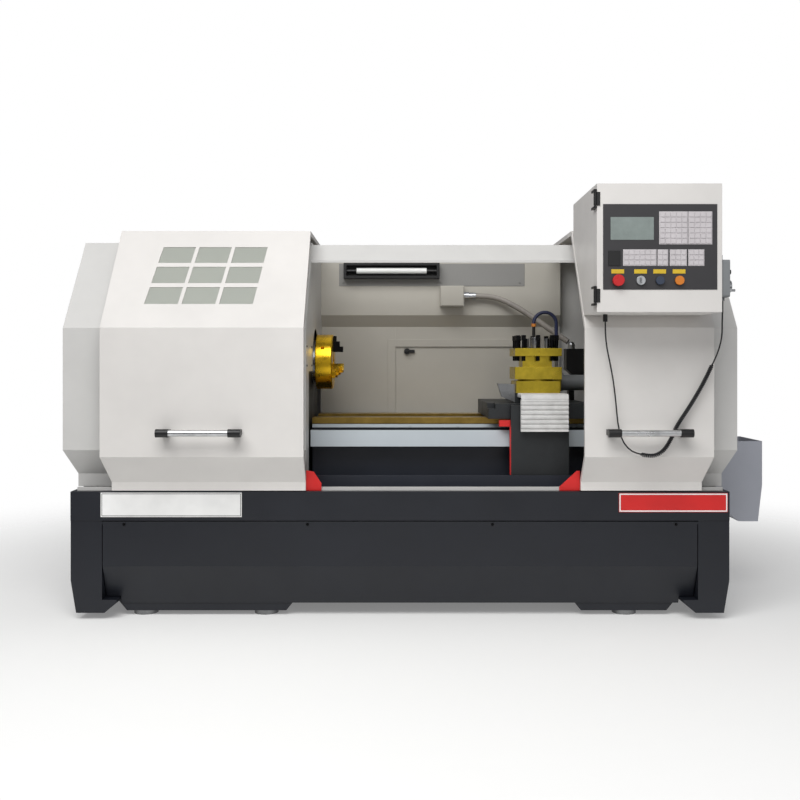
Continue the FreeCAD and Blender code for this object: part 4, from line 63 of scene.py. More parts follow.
# ------------------------------------------------------------------ settings


class LatheFinishSettings(bpy.types.PropertyGroup):
    """Wear and texture sizes that the finishes share."""

    edge_radius: bpy.props.FloatProperty(
        name="Sheet edge radius",
        description="Rounding seen on folded sheet and machined edges",
        default=0.0018,
        unit="LENGTH",
    )
    orange_peel: bpy.props.FloatProperty(
        name="Orange peel size",
        description="Width of the ripples in sprayed and powder-coated paint",
        default=0.0035,
        unit="LENGTH",
    )
    cast_grain: bpy.props.FloatProperty(
        name="Cast grain size",
        description="Width of the lumps left by sand casting under paint",
        default=0.006,
        unit="LENGTH",
    )
    grind_pitch: bpy.props.FloatProperty(
        name="Grinding mark spacing",
        description="Spacing of grinding and turning marks on bare steel",
        default=0.0012,
        unit="LENGTH",
    )


class LatheDetailSettings(bpy.types.PropertyGroup):
    """Sizes of the modelled pieces."""

    pleats: bpy.props.IntProperty(
        name="Bellows pleats",
        description="Pleats that hang in front of the apron",
        default=7,
    )
    pleat_depth: bpy.props.FloatProperty(
        name="Pleat depth",
        description="How far the bellows' folds go in",
        default=0.006,
        unit="LENGTH",
    )
    lead_diameter: bpy.props.FloatProperty(
        name="Lead diameter",
        description="Diameter of the pendant's lead",
        default=0.006,
        unit="LENGTH",
    )
    coil_diameter: bpy.props.FloatProperty(
        name="Curly stretch diameter",
        description="Outside diameter of the pendant lead's curls",
        default=0.018,
        unit="LENGTH",
    )
    coil_pitch: bpy.props.FloatProperty(
        name="Curl pitch",
        description="Distance from one curl to the next",
        default=0.0072,
        unit="LENGTH",
    )
    conduit_diameter: bpy.props.FloatProperty(
        name="Conduit diameter",
        description="Outside diameter of the flexible conduit",
        default=0.028,
        unit="LENGTH",
    )


class LatheColourSettings(bpy.types.PropertyGroup):
    """sRGB hex colours of the finishes."""

    door_white: bpy.props.StringProperty(name="Door powder coat", default="dedbd7")
    # Hood: the door powder greyed a little, which is painted shade, not a different paint
    hood_white_painted_shade: bpy.props.StringProperty(name="Hood powder coat, greyed as painted shade", default="cfcecb")
    wall_paint: bpy.props.StringProperty(name="Back wall powder coat", default="bab6ac")
    # Lamp plate: its own mid-grey plus painted shade, the darkness the roof casts on it
    lamp_plate_grey_painted_shade: bpy.props.StringProperty(name="Lamp plate grey powder with painted shade", default="8f8e8b")
    base_navy: bpy.props.StringProperty(name="Base textured enamel", default="14171f")
    guard_grey: bpy.props.StringProperty(name="Guard powder coat", default="adb0b9")
    bed_paint: bpy.props.StringProperty(name="Bed enamel", default="232731")
    carriage_paint: bpy.props.StringProperty(name="Carriage casting paint", default="1f2224")
    cover_white: bpy.props.StringProperty(name="Screw cover powder coat", default="c3cbd0")
    ground_way: bpy.props.StringProperty(name="Oiled ground way", default="a88b48")
    bright_steel: bpy.props.StringProperty(name="Ground steel", default="b9bbbd")
    dull_steel: bpy.props.StringProperty(name="Milled steel", default="8b8c8d")
    chuck_gold: bpy.props.StringProperty(name="Yellow passivated chuck", default="e8bb2c")
    turret_gold: bpy.props.StringProperty(name="Olive passivated block", default="c0a838")
    black_oxide: bpy.props.StringProperty(name="Black oxide steel", default="1c1c1d")
    handle_steel: bpy.props.StringProperty(name="Satin stainless bar", default="c4c5c6")
    guard_red: bpy.props.StringProperty(name="Red guard enamel", default="d3211f")
    black_plastic: bpy.props.StringProperty(name="Black nylon", default="121213")
    motor_grey: bpy.props.StringProperty(name="Motor enamel", default="7e8183")
    panel_film: bpy.props.StringProperty(name="Printed panel film", default="353436")
    key_film: bpy.props.StringProperty(name="Membrane key film", default="cbc6c8")
    tag_yellow: bpy.props.StringProperty(name="Yellow label plastic", default="d9b72a")
    plate_white: bpy.props.StringProperty(name="White plate enamel", default="f0f0ee")
    red_plastic: bpy.props.StringProperty(name="Stop button plastic", default="c4151a")
    blue_plastic: bpy.props.StringProperty(name="Push button blue grey", default="2f3a4d")
    orange_plastic: bpy.props.StringProperty(name="Push button orange", default="d2791d")
    hose_blue: bpy.props.StringProperty(name="Coolant hose blue", default="232b4f")
    hose_orange: bpy.props.StringProperty(name="Coolant fitting orange", default="d98a3d")
    conduit_grey: bpy.props.StringProperty(name="Ribbed pvc conduit", default="9a948d")
    cable_black: bpy.props.StringProperty(name="Cable sheath", default="17171a")
    glass: bpy.props.StringProperty(name="Etched glass", default="c6cac0")
    bellows: bpy.props.StringProperty(name="Bellows cloth", default="cfcecc")
    lamp_tube: bpy.props.StringProperty(name="Opal lamp glass", default="f2f3f0")
    lcd: bpy.props.StringProperty(name="Display glass", default="7f8a86")


class LatheStageSettings(bpy.types.PropertyGroup):
    """Camera and light."""

    top_power: bpy.props.FloatProperty(
        name="Top light",
        description="Power of the softbox above the machine's back in watts",
        default=15.0,
    )
    ambient: bpy.props.FloatProperty(
        name="Ambient light",
        description="Strength of the light from all round",
        default=0.24,
    )
    paper_glow: bpy.props.FloatProperty(
        name="Paper glow",
        description="How much the floor's paper glows, so that it fades into the backdrop",
        default=0.2,
    )

    distance: bpy.props.FloatProperty(
        name="Camera distance",
        description="Camera's distance in front of the spindle line",
        default=4.370,
        unit="LENGTH",
    )
    height: bpy.props.FloatProperty(
        name="Camera height",
        description="Camera's height above the floor",
        default=1.055,
        unit="LENGTH",
    )
    lens: bpy.props.FloatProperty(
        name="Lens",
        description="Focal length in millimetres on a 36 mm wide sensor",
        default=42.75,
    )
    rise: bpy.props.FloatProperty(
        name="Vertical shift",
        description="Lens shift as a share of the picture's width",
        default=-0.0475,
    )
    key_power: bpy.props.FloatProperty(
        name="Key light",
        description="Power of the big overhead softbox in watts",
        default=215.0,
    )
    fill_power: bpy.props.FloatProperty(
        name="Fill light",
        description="Power of the front softbox in watts",
        default=26.0,
    )


# ------------------------------------------------------------------ places in the frame

SPINDLE_OFFSET = Vector((-0.124, -0.032, 0.0))   # base middle and spindle plane in the row's frame


def place(x, y, z):
    """A point given in millimetres from the base's middle, the spindle's plane and the floor."""
    return SPINDLE_OFFSET + Vector((x, y, z)) / 1000


CONDUIT_ROUTE = [
    (370, 280, 1378), (455, 280, 1378), (545, 264, 1338), (640, 236, 1275), (725, 196, 1208),
    (800, 157, 1152),
]
LEAD_A = [
    (810, -620, 1214), (810, -620, 1172), (819, -606, 1112), (834, -597, 1052), (847, -595, 985),
    (856, -595, 915), (862, -595, 845), (870, -595, 782), (889, -595, 730), (922, -595, 698),
    (955, -595, 689),
]
COIL_ROUTE = [
    (955, -595, 689), (999, -595, 677), (1045, -595, 697), (1076, -595, 745), (1100, -595, 802),
    (1138, -596, 858), (1176, -598, 920), (1210, -603, 984), (1236, -612, 1046),
]
LEAD_B = [
    (1236, -612, 1046), (1253, -618, 1086), (1260, -640, 1132), (1252, -680, 1172), (1238, -718, 1204),
    (1231, -745, 1242), (1231, -745, 1288),
]


# ------------------------------------------------------------------ node and colour helpers


def linear(hex_colour):
    """A six-digit sRGB hex colour as linear RGBA."""
    channels = [int(hex_colour[i : i + 2], 16) / 255 for i in (0, 2, 4)]
    values = [c / 12.92 if c <= 0.04045 else ((c + 0.055) / 1.055) ** 2.4 for c in channels]
    return (*values, 1.0)


def add_node(tree, kind, settings=None, links=None):
    """A shader node with its settings and incoming links: sockets by name or number."""
    node = tree.nodes.new(kind)
    for name, value in (settings or {}).items():
        if isinstance(name, str) and hasattr(node, name):
            setattr(node, name, value)
        else:
            node.inputs[name].default_value = value
    for name, source in (links or {}).items():
        tree.links.new(source, node.inputs[name])
    return node


def new_material(name):
    """An empty material with its output, its shader tree and object coordinates."""
    material = bpy.data.materials.new(name)
    material.use_nodes = True
    tree = material.node_tree
    tree.nodes.clear()
    out = add_node(tree, "ShaderNodeOutputMaterial")
    where = add_node(tree, "ShaderNodeTexCoord")
    return material, tree, out, where.outputs["Object"]


def tinted(tree, colour, amount, size, where):
    """A colour that varies slightly over patches of the given size, and keeps its mean."""
    patches = add_node(
        tree,
        "ShaderNodeTexNoise",
        {"Scale": 1 / size, "Detail": 4.0, "Roughness": 0.6},
        {"Vector": where},
    )
    gain = add_node(
        tree,
        "ShaderNodeMapRange",
        {"From Min": 0.3, "From Max": 0.7, "To Min": 1 - amount, "To Max": 1 + amount},
        {"Value": patches.outputs["Fac"]},
    )
    mix = add_node(
        tree,
        "ShaderNodeMix",
        {"data_type": "RGBA", "blend_type": "MULTIPLY", 0: 1.0, 6: linear(colour)},
        {7: gain.outputs["Result"]},
    )
    return mix.outputs[2]


def rippled(tree, size, height, where, radius):
    """A bumped normal on softly rounded edges."""
    ripple = add_node(
        tree,
        "ShaderNodeTexNoise",
        {"Scale": 1 / size, "Detail": 2.0},
        {"Vector": where},
    )
    rounded = add_node(tree, "ShaderNodeBevel", {"samples": 4, "Radius": radius})
    bump = add_node(
        tree,
        "ShaderNodeBump",
        {"Strength": 0.6, "Distance": height},
        {"Height": ripple.outputs["Fac"], "Normal": rounded.outputs["Normal"]},
    )
    return bump.outputs["Normal"]


def rough_range(tree, low, high, size, where):
    """Roughness that wanders between two values."""
    patches = add_node(
        tree, "ShaderNodeTexNoise", {"Scale": 1 / size, "Detail": 3.0}, {"Vector": where}
    )
    span = add_node(
        tree,
        "ShaderNodeMapRange",
        {"From Min": 0.3, "From Max": 0.7, "To Min": low, "To Max": high},
        {"Value": patches.outputs["Fac"]},
    )
    return span.outputs["Result"]


def finish(name, colour, rough, ripple, vary, ior=1.5, coat=0.0):
    """A painted or moulded surface: its roughness span, ripple width and height, patch amount and size."""
    settings = bpy.context.scene.lathe_finish
    material, tree, out, where = new_material(name)
    shader = add_node(
        tree,
        "ShaderNodeBsdfPrincipled",
        {"IOR": ior, "Coat Weight": coat, "Coat Roughness": 0.12},
        {
            "Base Color": tinted(tree, colour, *vary, where),
            "Roughness": rough_range(tree, *rough, 0.12, where),
            "Normal": rippled(tree, *ripple, where, settings.edge_radius),
        },
    )
    tree.links.new(shader.outputs["BSDF"], out.inputs["Surface"])
    return material


# ------------------------------------------------------------------ materials


def powder_coat(name, colour):
    """Oven-cured polyester powder on steel sheet: satin, with fine orange peel."""
    peel = bpy.context.scene.lathe_finish.orange_peel
    return finish(name, colour, (0.34, 0.46), (peel, 0.00005), (0.05, 0.4))


def enamel(name, colour, coat=0.15):
    """Sprayed two-pack enamel on a filled casting or weldment."""
    peel = bpy.context.scene.lathe_finish.orange_peel
    return finish(name, colour, (0.38, 0.5), (peel * 1.6, 0.00008), (0.12, 0.3), coat=coat)


def painted_casting(name, colour):
    """Sand-cast iron under a dull machine enamel."""
    grain = bpy.context.scene.lathe_finish.cast_grain
    return finish(name, colour, (0.42, 0.6), (grain, 0.0003), (0.2, 0.15))


def moulded(name, colour, rough=(0.35, 0.45)):
    """Injection-moulded plastic."""
    return finish(name, colour, rough, (0.0008, 0.00002), (0.05, 0.05), ior=1.49)


def rubbery(name, colour):
    """Vulcanised rubber or a PVC cable sheath."""
    return finish(name, colour, (0.5, 0.65), (0.001, 0.00003), (0.1, 0.05), ior=1.52)


def bare_metal(name, colour, rough, stretch):
    """Machined metal: marks run along one direction, so the grain is squeezed across it."""
    settings = bpy.context.scene.lathe_finish
    material, tree, out, where = new_material(name)
    mapping = add_node(tree, "ShaderNodeMapping", {"Scale": stretch}, {"Vector": where})
    marks = add_node(
        tree,
        "ShaderNodeTexNoise",
        {"Scale": 1 / settings.grind_pitch, "Detail": 3.0},
        {"Vector": mapping.outputs["Vector"]},
    )
    rounded = add_node(tree, "ShaderNodeBevel", {"samples": 4, "Radius": settings.edge_radius * 0.6})
    bump = add_node(
        tree,
        "ShaderNodeBump",
        {"Strength": 0.25, "Distance": 0.00003},
        {"Height": marks.outputs["Fac"], "Normal": rounded.outputs["Normal"]},
    )
    shader = add_node(
        tree,
        "ShaderNodeBsdfPrincipled",
        {"Metallic": 1.0, "Anisotropic": 0.3},
        {
            "Base Color": tinted(tree, colour, 0.2, 0.06, where),
            "Roughness": rough_range(tree, *rough, 0.04, where),
            "Normal": bump.outputs["Normal"],
        },
    )
    tree.links.new(shader.outputs["BSDF"], out.inputs["Surface"])
    return material


def frosted_glass(colour):
    """Acid-etched toughened glass: milky, blurs what is behind it, with a faint green tint."""
    material, tree, out, where = new_material("etched_glass")
    shader = add_node(
        tree,
        "ShaderNodeBsdfPrincipled",
        {
            "Base Color": linear(colour),
            "Roughness": 0.42,
            "IOR": 1.52,
            "Transmission Weight": 0.45,
        },
        {"Normal": rippled(tree, 0.004, 0.00005, where, 0.001)},
    )
    tree.links.new(shader.outputs["BSDF"], out.inputs["Surface"])
    return material


def coated_cloth(colour):
    """Polyurethane-coated polyester cloth: chalky white, its fine weave kills any sharp shine."""
    material, tree, out, where = new_material("coated_bellows_cloth")
    weave = add_node(
        tree,
        "ShaderNodeTexWave",
        {"wave_type": "BANDS", "Scale": 180.0, "Distortion": 0.4},
        {"Vector": where},
    )
    bump = add_node(
        tree,
        "ShaderNodeBump",
        {"Strength": 0.2, "Distance": 0.0001},
        {"Height": weave.outputs["Fac"]},
    )
    shader = add_node(
        tree,
        "ShaderNodeBsdfPrincipled",
        {"Roughness": 0.55, "IOR": 1.48, "Sheen Weight": 0.15},
        {"Base Color": tinted(tree, colour, 0.12, 0.05, where), "Normal": bump.outputs["Normal"]},
    )
    tree.links.new(shader.outputs["BSDF"], out.inputs["Surface"])
    return material


def lamp_tube_glass(colour):
    """Opal glass of an unlit fluorescent tube: smooth white with one long thin highlight."""
    return finish("opal_lamp_glass", colour, (0.2, 0.25), (0.01, 0.00001), (0.02, 0.1), coat=0.4)


def display_glass(colour):
    """Switched-off LCD behind clear glass: grey-green and glossy."""
    return finish("lcd_glass", colour, (0.12, 0.18), (0.01, 0.00001), (0.1, 0.05), coat=0.6)


def make_materials():
    """Every finish by name."""
    c = bpy.context.scene.lathe_colours
    return {
        # Warm white powder on folded sheet: even, satin, a soft highlight on the bulge and no mirror image.
        "door_white": powder_coat("door_powder_coat", c.door_white),
        # The same powder as the doors, made a shade greyer as painted shade: flat planes that part by their
        # slope alone.
        "hood_white_painted_shade": powder_coat("hood_powder_coat_painted_shade", c.hood_white_painted_shade),
        # Stone-grey powder dulled by coolant mist: a quiet backdrop behind the chuck.
        "wall_paint": powder_coat("back_wall_powder_coat", c.wall_paint),
        # Mid-grey powder behind the lamp, darkened further with painted shade from the roof above it: reads
        # as a cooler, darker strip.
        "lamp_plate_grey_painted_shade": powder_coat("lamp_plate_powder_painted_shade", c.lamp_plate_grey_painted_shade),
        # Near-black navy enamel over a weldment: heavy, with a broad sheen and a pebbled skin.
        "base_navy": enamel("base_textured_enamel", c.base_navy, coat=0.0),
        # Blue-grey powder on the tail guard: cooler than the doors.
        "guard_grey": powder_coat("guard_powder_coat", c.guard_grey),
        # Navy enamel that is wet with oil in places: dark, with slow highlights.
        "bed_paint": enamel("bed_enamel", c.bed_paint),
        # Dull charcoal over sand-cast iron: a grainy skin that breaks up every highlight.
        "carriage_paint": painted_casting("carriage_casting_paint", c.carriage_paint),
        # Cold light grey on a thin cover: a bright line over the dark bed.
        "cover_white": powder_coat("screw_cover_powder_coat", c.cover_white),
        # Ground steel under yellow way oil: long straight marks and a honey tint.
        "ground_way": bare_metal("oiled_ground_way", c.ground_way, (0.28, 0.4), (0.05, 1.0, 1.0)),
        # Ground and polished steel: light, with fine marks across the turning axis.
        "bright_steel": bare_metal("ground_steel", c.bright_steel, (0.24, 0.36), (1.0, 0.1, 0.1)),
        # Milled steel: grey and broad in its shine, with cutter marks.
        "dull_steel": bare_metal("milled_steel", c.dull_steel, (0.38, 0.5), (0.2, 1.0, 1.0)),
        # Turned steel in yellow passivation: brassy, with rings that catch the light.
        "chuck_gold": bare_metal("yellow_passivated_chuck", c.chuck_gold, (0.22, 0.34), (1.0, 0.1, 0.1)),
        # Milled block in olive passivation: greener and duller than the chuck.
        "turret_gold": bare_metal("olive_passivated_block", c.turret_gold, (0.26, 0.38), (0.1, 1.0, 1.0)),
        # Blackened steel: almost no colour, only a soft grey edge.
        "black_oxide": bare_metal("black_oxide_steel", c.black_oxide, (0.4, 0.52), (1.0, 1.0, 1.0)),
        # Brushed stainless bar: one long soft highlight down each handle.
        "handle_steel": bare_metal("satin_stainless_bar", c.handle_steel, (0.26, 0.34), (0.05, 1.0, 1.0)),
        # Signal-red enamel: the strongest colour on the machine, slightly glossy.
        "guard_red": enamel("red_guard_enamel", c.guard_red),
        # Moulded black nylon: deep black with a waxy highlight.
        "black_plastic": moulded("black_nylon", c.black_plastic),
        # Mid-grey enamel on a motor and a housing: plain and slightly glossy.
        "motor_grey": enamel("motor_enamel", c.motor_grey),
        # Dark printed film over sheet: flat and even, less shiny than paint.
        "panel_film": moulded("printed_panel_film", c.panel_film, (0.4, 0.5)),
        # Light membrane keys: soft and matt, they stand out from the dark panel.
        "key_film": moulded("membrane_key_film", c.key_film, (0.42, 0.55)),
        # Blank engraved tags: warm yellow with clean edges.
        "tag_yellow": moulded("yellow_label_plastic", c.tag_yellow),
        # White stove enamel on a thin plate: the brightest flat on the base.
        "plate_white": enamel("white_plate_enamel", c.plate_white),
        # Glossy red mushroom: one tight highlight on its dome.
        "red_plastic": moulded("stop_button_plastic", c.red_plastic, (0.25, 0.32)),
        # Blue-grey button cap: dark with a small highlight.
        "blue_plastic": moulded("push_button_blue_grey", c.blue_plastic, (0.25, 0.32)),
        # Orange button cap: saturated, like the lens of a lamp.
        "orange_plastic": moulded("push_button_orange", c.orange_plastic, (0.25, 0.32)),
        # Acetal hose beads in dark blue: each bead has its own small highlight.
        "hose_blue": moulded("coolant_hose_blue", c.hose_blue, (0.3, 0.4)),
        # Acetal fittings in orange: they mark both ends of the hose.
        "hose_orange": moulded("coolant_fitting_orange", c.hose_orange, (0.3, 0.4)),
        # Ribbed grey PVC: the ribs read as fine rings.
        "conduit_grey": rubbery("ribbed_pvc_conduit", c.conduit_grey),
        # Polyurethane sheath: black and a little greasy.
        "cable_black": rubbery("cable_sheath", c.cable_black),
        "glass": frosted_glass(c.glass),
        "bellows": coated_cloth(c.bellows),
        "lamp_tube": lamp_tube_glass(c.lamp_tube),
        "lcd": display_glass(c.lcd),
    }


# ------------------------------------------------------------------ painting the frame

NODE_FINISH = {
    "base_frame": "base_navy",
    "base_covers": "base_navy",
    "levelling_feet": "dull_steel",
    "name_plates": "plate_white",
    "chip_tray": "bed_paint",
    # Hoods, rails and cabinet take the greyer copy of the door powder, which holds painted shade
    "left_hood": "hood_white_painted_shade",
    "right_hood": "hood_white_painted_shade",
    "door_rails": "hood_white_painted_shade",
    "back_wall": "wall_paint",
    "work_lamp": "black_plastic",
    "junction_box": "wall_paint",
    "headstock": "carriage_paint",
    "main_motor": "motor_grey",
    "drive_belt": "cable_black",
    "bed": "bed_paint",
    "bed_ways": "ground_way",
    "screw_cover": "cover_white",
    "tail_guard": "guard_grey",
    "cabinet": "hood_white_painted_shade",
    "conduit": "conduit_grey",
    "spindle": "bright_steel",
    "chuck_body": "chuck_gold",
    "chuck_jaw_1": "black_oxide",
    "chuck_jaw_2": "chuck_gold",
    "chuck_jaw_3": "chuck_gold",
    "motor_pulley": "dull_steel",
    "z_screw": "bright_steel",
    "saddle": "carriage_paint",
    "apron": "carriage_paint",
    "connection_box": "black_plastic",
    "bellows": "bellows",
    "x_screw": "bright_steel",
    "cross_slide": "carriage_paint",
    "turret_base": "turret_gold",
    "coolant_hose": "hose_blue",
    "turret_head": "turret_gold",
    "turret_bolts": "black_oxide",
    "tailstock": "carriage_paint",
    "quill": "bright_steel",
    "tail_handwheel": "bright_steel",
    "left_door": "door_white",
    "window_glass": "glass",
    "left_door_fittings": "handle_steel",
    "right_door": "door_white",
    "right_door_fittings": "handle_steel",
    "control_box": "door_white",
    "pendant": "motor_grey",
    "pendant_cord": "cable_black",
    "box_lid": "door_white",
    "panel_plate": "panel_film",
    "keypads": "key_film",
    "stop_button": "red_plastic",
    "key_switch": "bright_steel",
    "blue_button": "blue_plastic",
    "orange_button": "orange_plastic",
    "pendant_wheel": "bright_steel",
    "pendant_knob": "black_plastic",
    "hatch": "wall_paint",
    "hatch_latch": "black_plastic",
    "cabinet_door": "hood_white_painted_shade",
}

# Pieces that share a node with others: node, finish, and the box in millimetres that holds them
PIECE_FINISH = [
    ("name_plates", "guard_red", (800, -500, 430, 1348, -480, 530)),
    ("base_covers", "black_oxide", (-1140, -495, 380, 1140, -485.5, 402)),
    ("left_hood", "black_oxide", (-389, -425, 1030, -380, -190, 1130)),
    # The strip behind the lamp takes the darker grey, which holds painted shade from the roof
    ("back_wall", "lamp_plate_grey_painted_shade", (-301, 300, 1428, 614, 311, 1540)),
    ("work_lamp", "lamp_tube", (-212.5, 255, 1480, 130.5, 300, 1520)),
    ("junction_box", "bright_steel", (311, 250, 1350, 372, 305, 1400)),
    ("screw_cover", "cover_white", (-390, -200, 760, 1200, -170, 790)),
    ("bed", "black_plastic", (1100, -300, 640, 1400, -170, 800)),
    ("apron", "guard_red", (420, -334, 570, 472.2, -262, 810)),
    ("connection_box", "bright_steel", (796, 130, 1117.5, 834, 170, 1156)),
    ("cross_slide", "dull_steel", (420, -236, 876, 499.9, -204, 965)),
    ("turret_base", "motor_grey", (739.5, -30, 915, 870, 70, 1012)),
    ("turret_bolts", "bright_steel", (540, -210, 1114.5, 660, -120, 1168)),
    ("coolant_hose", "hose_orange", (605, 0, 1217, 630, 30, 1232.5)),
    ("coolant_hose", "hose_orange", (708, 0, 1147, 733, 30, 1168.5)),
    ("coolant_hose", "bright_steel", (708, 0, 990, 733, 30, 1148)),
    ("coolant_hose", "black_plastic", (605, 0, 1100, 630, 30, 1218)),
    ("quill", "dull_steel", (860, -60, 1000, 919.9, 60, 1120)),
    ("left_door_fittings", "guard_red", (-425, -484, 520, -320, -458, 615)),
    ("right_door_fittings", "guard_red", (650, -484, 520, 834, -455, 615)),
    ("left_door_fittings", "black_plastic", (-962, -660, 750, -908, -565, 800)),
    ("left_door_fittings", "black_plastic", (-678, -660, 750, -620, -565, 800)),
    ("right_door_fittings", "black_plastic", (817, -660, 750, 871, -565, 800)),
    ("right_door_fittings", "black_plastic", (1100, -660, 750, 1155, -565, 800)),
    ("control_box", "black_plastic", (728, -800, 1260, 741.9, -740, 1720)),
    ("control_box", "black_plastic", (800, -632, 1213, 820, -608, 1242.9)),
    ("box_lid", "black_plastic", (728, -800, 1270, 755, -790.2, 1700)),
    ("panel_plate", "lcd", (792, -794, 1514, 957, -792.1, 1602)),
    ("panel_plate", "tag_yellow", (790, -794, 1386, 1080, -792.1, 1406)),
    ("panel_plate", "black_plastic", (783, -796, 1416, 830, -792.1, 1475)),
    ("pendant", "black_plastic", (1222, -755, 1287, 1240, -735, 1300.5)),
]


BOX_SLACK = 2e-4


def set_finish(obj, material):
    obj.data.materials.clear()
    obj.data.materials.append(material)


def paint_piece(obj, material, low, high):
    """Faces that lie wholly inside a box take another material."""
    obj.data.materials.append(material)
    index = len(obj.data.materials) - 1
    inside = [
        all(a - BOX_SLACK <= c <= b + BOX_SLACK for a, c, b in zip(low, vertex.co, high))
        for vertex in obj.data.vertices
    ]
    for polygon in obj.data.polygons:
        if all(inside[i] for i in polygon.vertices):
            polygon.material_index = index


# ------------------------------------------------------------------ mesh helpers


def mesh_object(name, vertices, faces, material, smooth=False):
    mesh = bpy.data.meshes.new(name)
    mesh.from_pydata([tuple(v) for v in vertices], [], faces)
    mesh.validate()
    mesh.update()
    for polygon in mesh.polygons:
        polygon.use_smooth = smooth
    obj = bpy.data.objects.new(name, mesh)
    bpy.context.scene.collection.objects.link(obj)
    mesh.materials.append(material)
    return obj


def nurbs_curve(name, points, radius=0.0):
    """A smooth open curve with the points as its control points."""
    data = bpy.data.curves.new(name, "CURVE")
    data.dimensions = "3D"
    data.resolution_u = 8
    data.bevel_depth = radius
    data.bevel_resolution = 4
    data.use_fill_caps = radius > 0
    spline = data.splines.new("NURBS")
    spline.points.add(len(points) - 1)
    for spot, point in zip(spline.points, points):
        spot.co = (*point, 1.0)
    spline.order_u = 3
    spline.use_endpoint_u = True
    obj = bpy.data.objects.new(name, data)
    bpy.context.scene.collection.objects.link(obj)
    return obj


def curve_points(points):
    """Points read along the smooth curve of a route."""
    helper = nurbs_curve("route_helper", points)
    mesh = bpy.data.meshes.new_from_object(helper)
    line = [v.co.copy() for v in mesh.vertices]
    bpy.data.meshes.remove(mesh)
    bpy.data.objects.remove(helper)
    return line


def spaced(line, step):
    """The line's points again, evenly spaced about a step apart."""
    total = sum((b - a).length for a, b in zip(line, line[1:]))
    count = max(2, round(total / step))
    result = [line[0].copy()]
    target = total / count
    walked = 0.0
    for a, b in zip(line, line[1:]):
        length = (b - a).length
        while length > 0 and walked + length >= target * len(result) and len(result) < count:
            result.append(a.lerp(b, (target * len(result) - walked) / length))
        walked += length
    result.append(line[-1].copy())
    return result


def frames_along(line):
    """Directions across a line that turn as little as they can."""
    last = len(line) - 1
    ends = [(line[max(i - 1, 0)], line[min(i + 1, last)]) for i in range(len(line))]
    tangents = [(after - before).normalized() for before, after in ends]
    side = tangents[0].orthogonal().normalized()
    result = []
    for tangent in tangents:
        side = (side - tangent * side.dot(tangent)).normalized()
        result.append((side.copy(), tangent.cross(side)))
    return result


def ringed_tube(name, line, radius_at, material, around=20):
    """A mesh tube along a line, with a radius for each of its points."""
    vertices = []
    for i, (spot, (u, v)) in enumerate(zip(line, frames_along(line))):
        r = radius_at(i)
        for k in range(around):
            angle = 2 * math.pi * k / around
            vertices.append(spot + u * (r * math.cos(angle)) + v * (r * math.sin(angle)))
    faces = []
    for i in range(len(line) - 1):
        for k in range(around):
            a = i * around + k
            b = i * around + (k + 1) % around
            faces.append((a, b, b + around, a + around))
    faces.append(tuple(range(around))[::-1])
    faces.append(tuple(range((len(line) - 1) * around, len(line) * around)))
    return mesh_object(name, vertices, faces, material, smooth=True)


# ------------------------------------------------------------------ modelled pieces


def pendant_cord(materials):
    """The pendant's lead: plain, then curly, then plain again, as one spline."""
    details = bpy.context.scene.lathe_details
    radius = details.lead_diameter / 2
    curl = details.coil_diameter / 2 - radius
    per_curl = 12
    ease = 14
    axis = spaced(curve_points([place(*p) for p in COIL_ROUTE]), details.coil_pitch / per_curl)
    helix = []
    for i, (spot, (u, v)) in enumerate(zip(axis, frames_along(axis))):
        angle = 2 * math.pi * i / per_curl
        reach = curl * min(1.0, i / ease, (len(axis) - 1 - i) / ease)
        helix.append(spot + u * (reach * math.cos(angle)) + v * (reach * math.sin(angle)))
    points = [place(*p) for p in LEAD_A[:-1]] + helix + [place(*p) for p in LEAD_B[1:]]
    cord = nurbs_curve("pendant_lead", points, radius)
    cord.data.resolution_u = 2
    cord.data.bevel_resolution = 2
    cord.data.materials.append(materials["cable_black"])
    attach(cord, "right_door_body")
    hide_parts("pendant_cord")


def conduit_hose(materials):
    """The ribbed conduit from the junction box to the carriage."""
    details = bpy.context.scene.lathe_details
    rib_pitch = 0.004
    rib_depth = 0.0009
    line = spaced(curve_points([place(*p) for p in CONDUIT_ROUTE]), rib_pitch / 2)
    outer = details.conduit_diameter / 2
    hose = ringed_tube(
        "ribbed_conduit", line, lambda i: outer - (rib_depth if i % 2 else 0.0), materials["conduit_grey"]
    )
    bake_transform(hose)
    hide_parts("conduit")


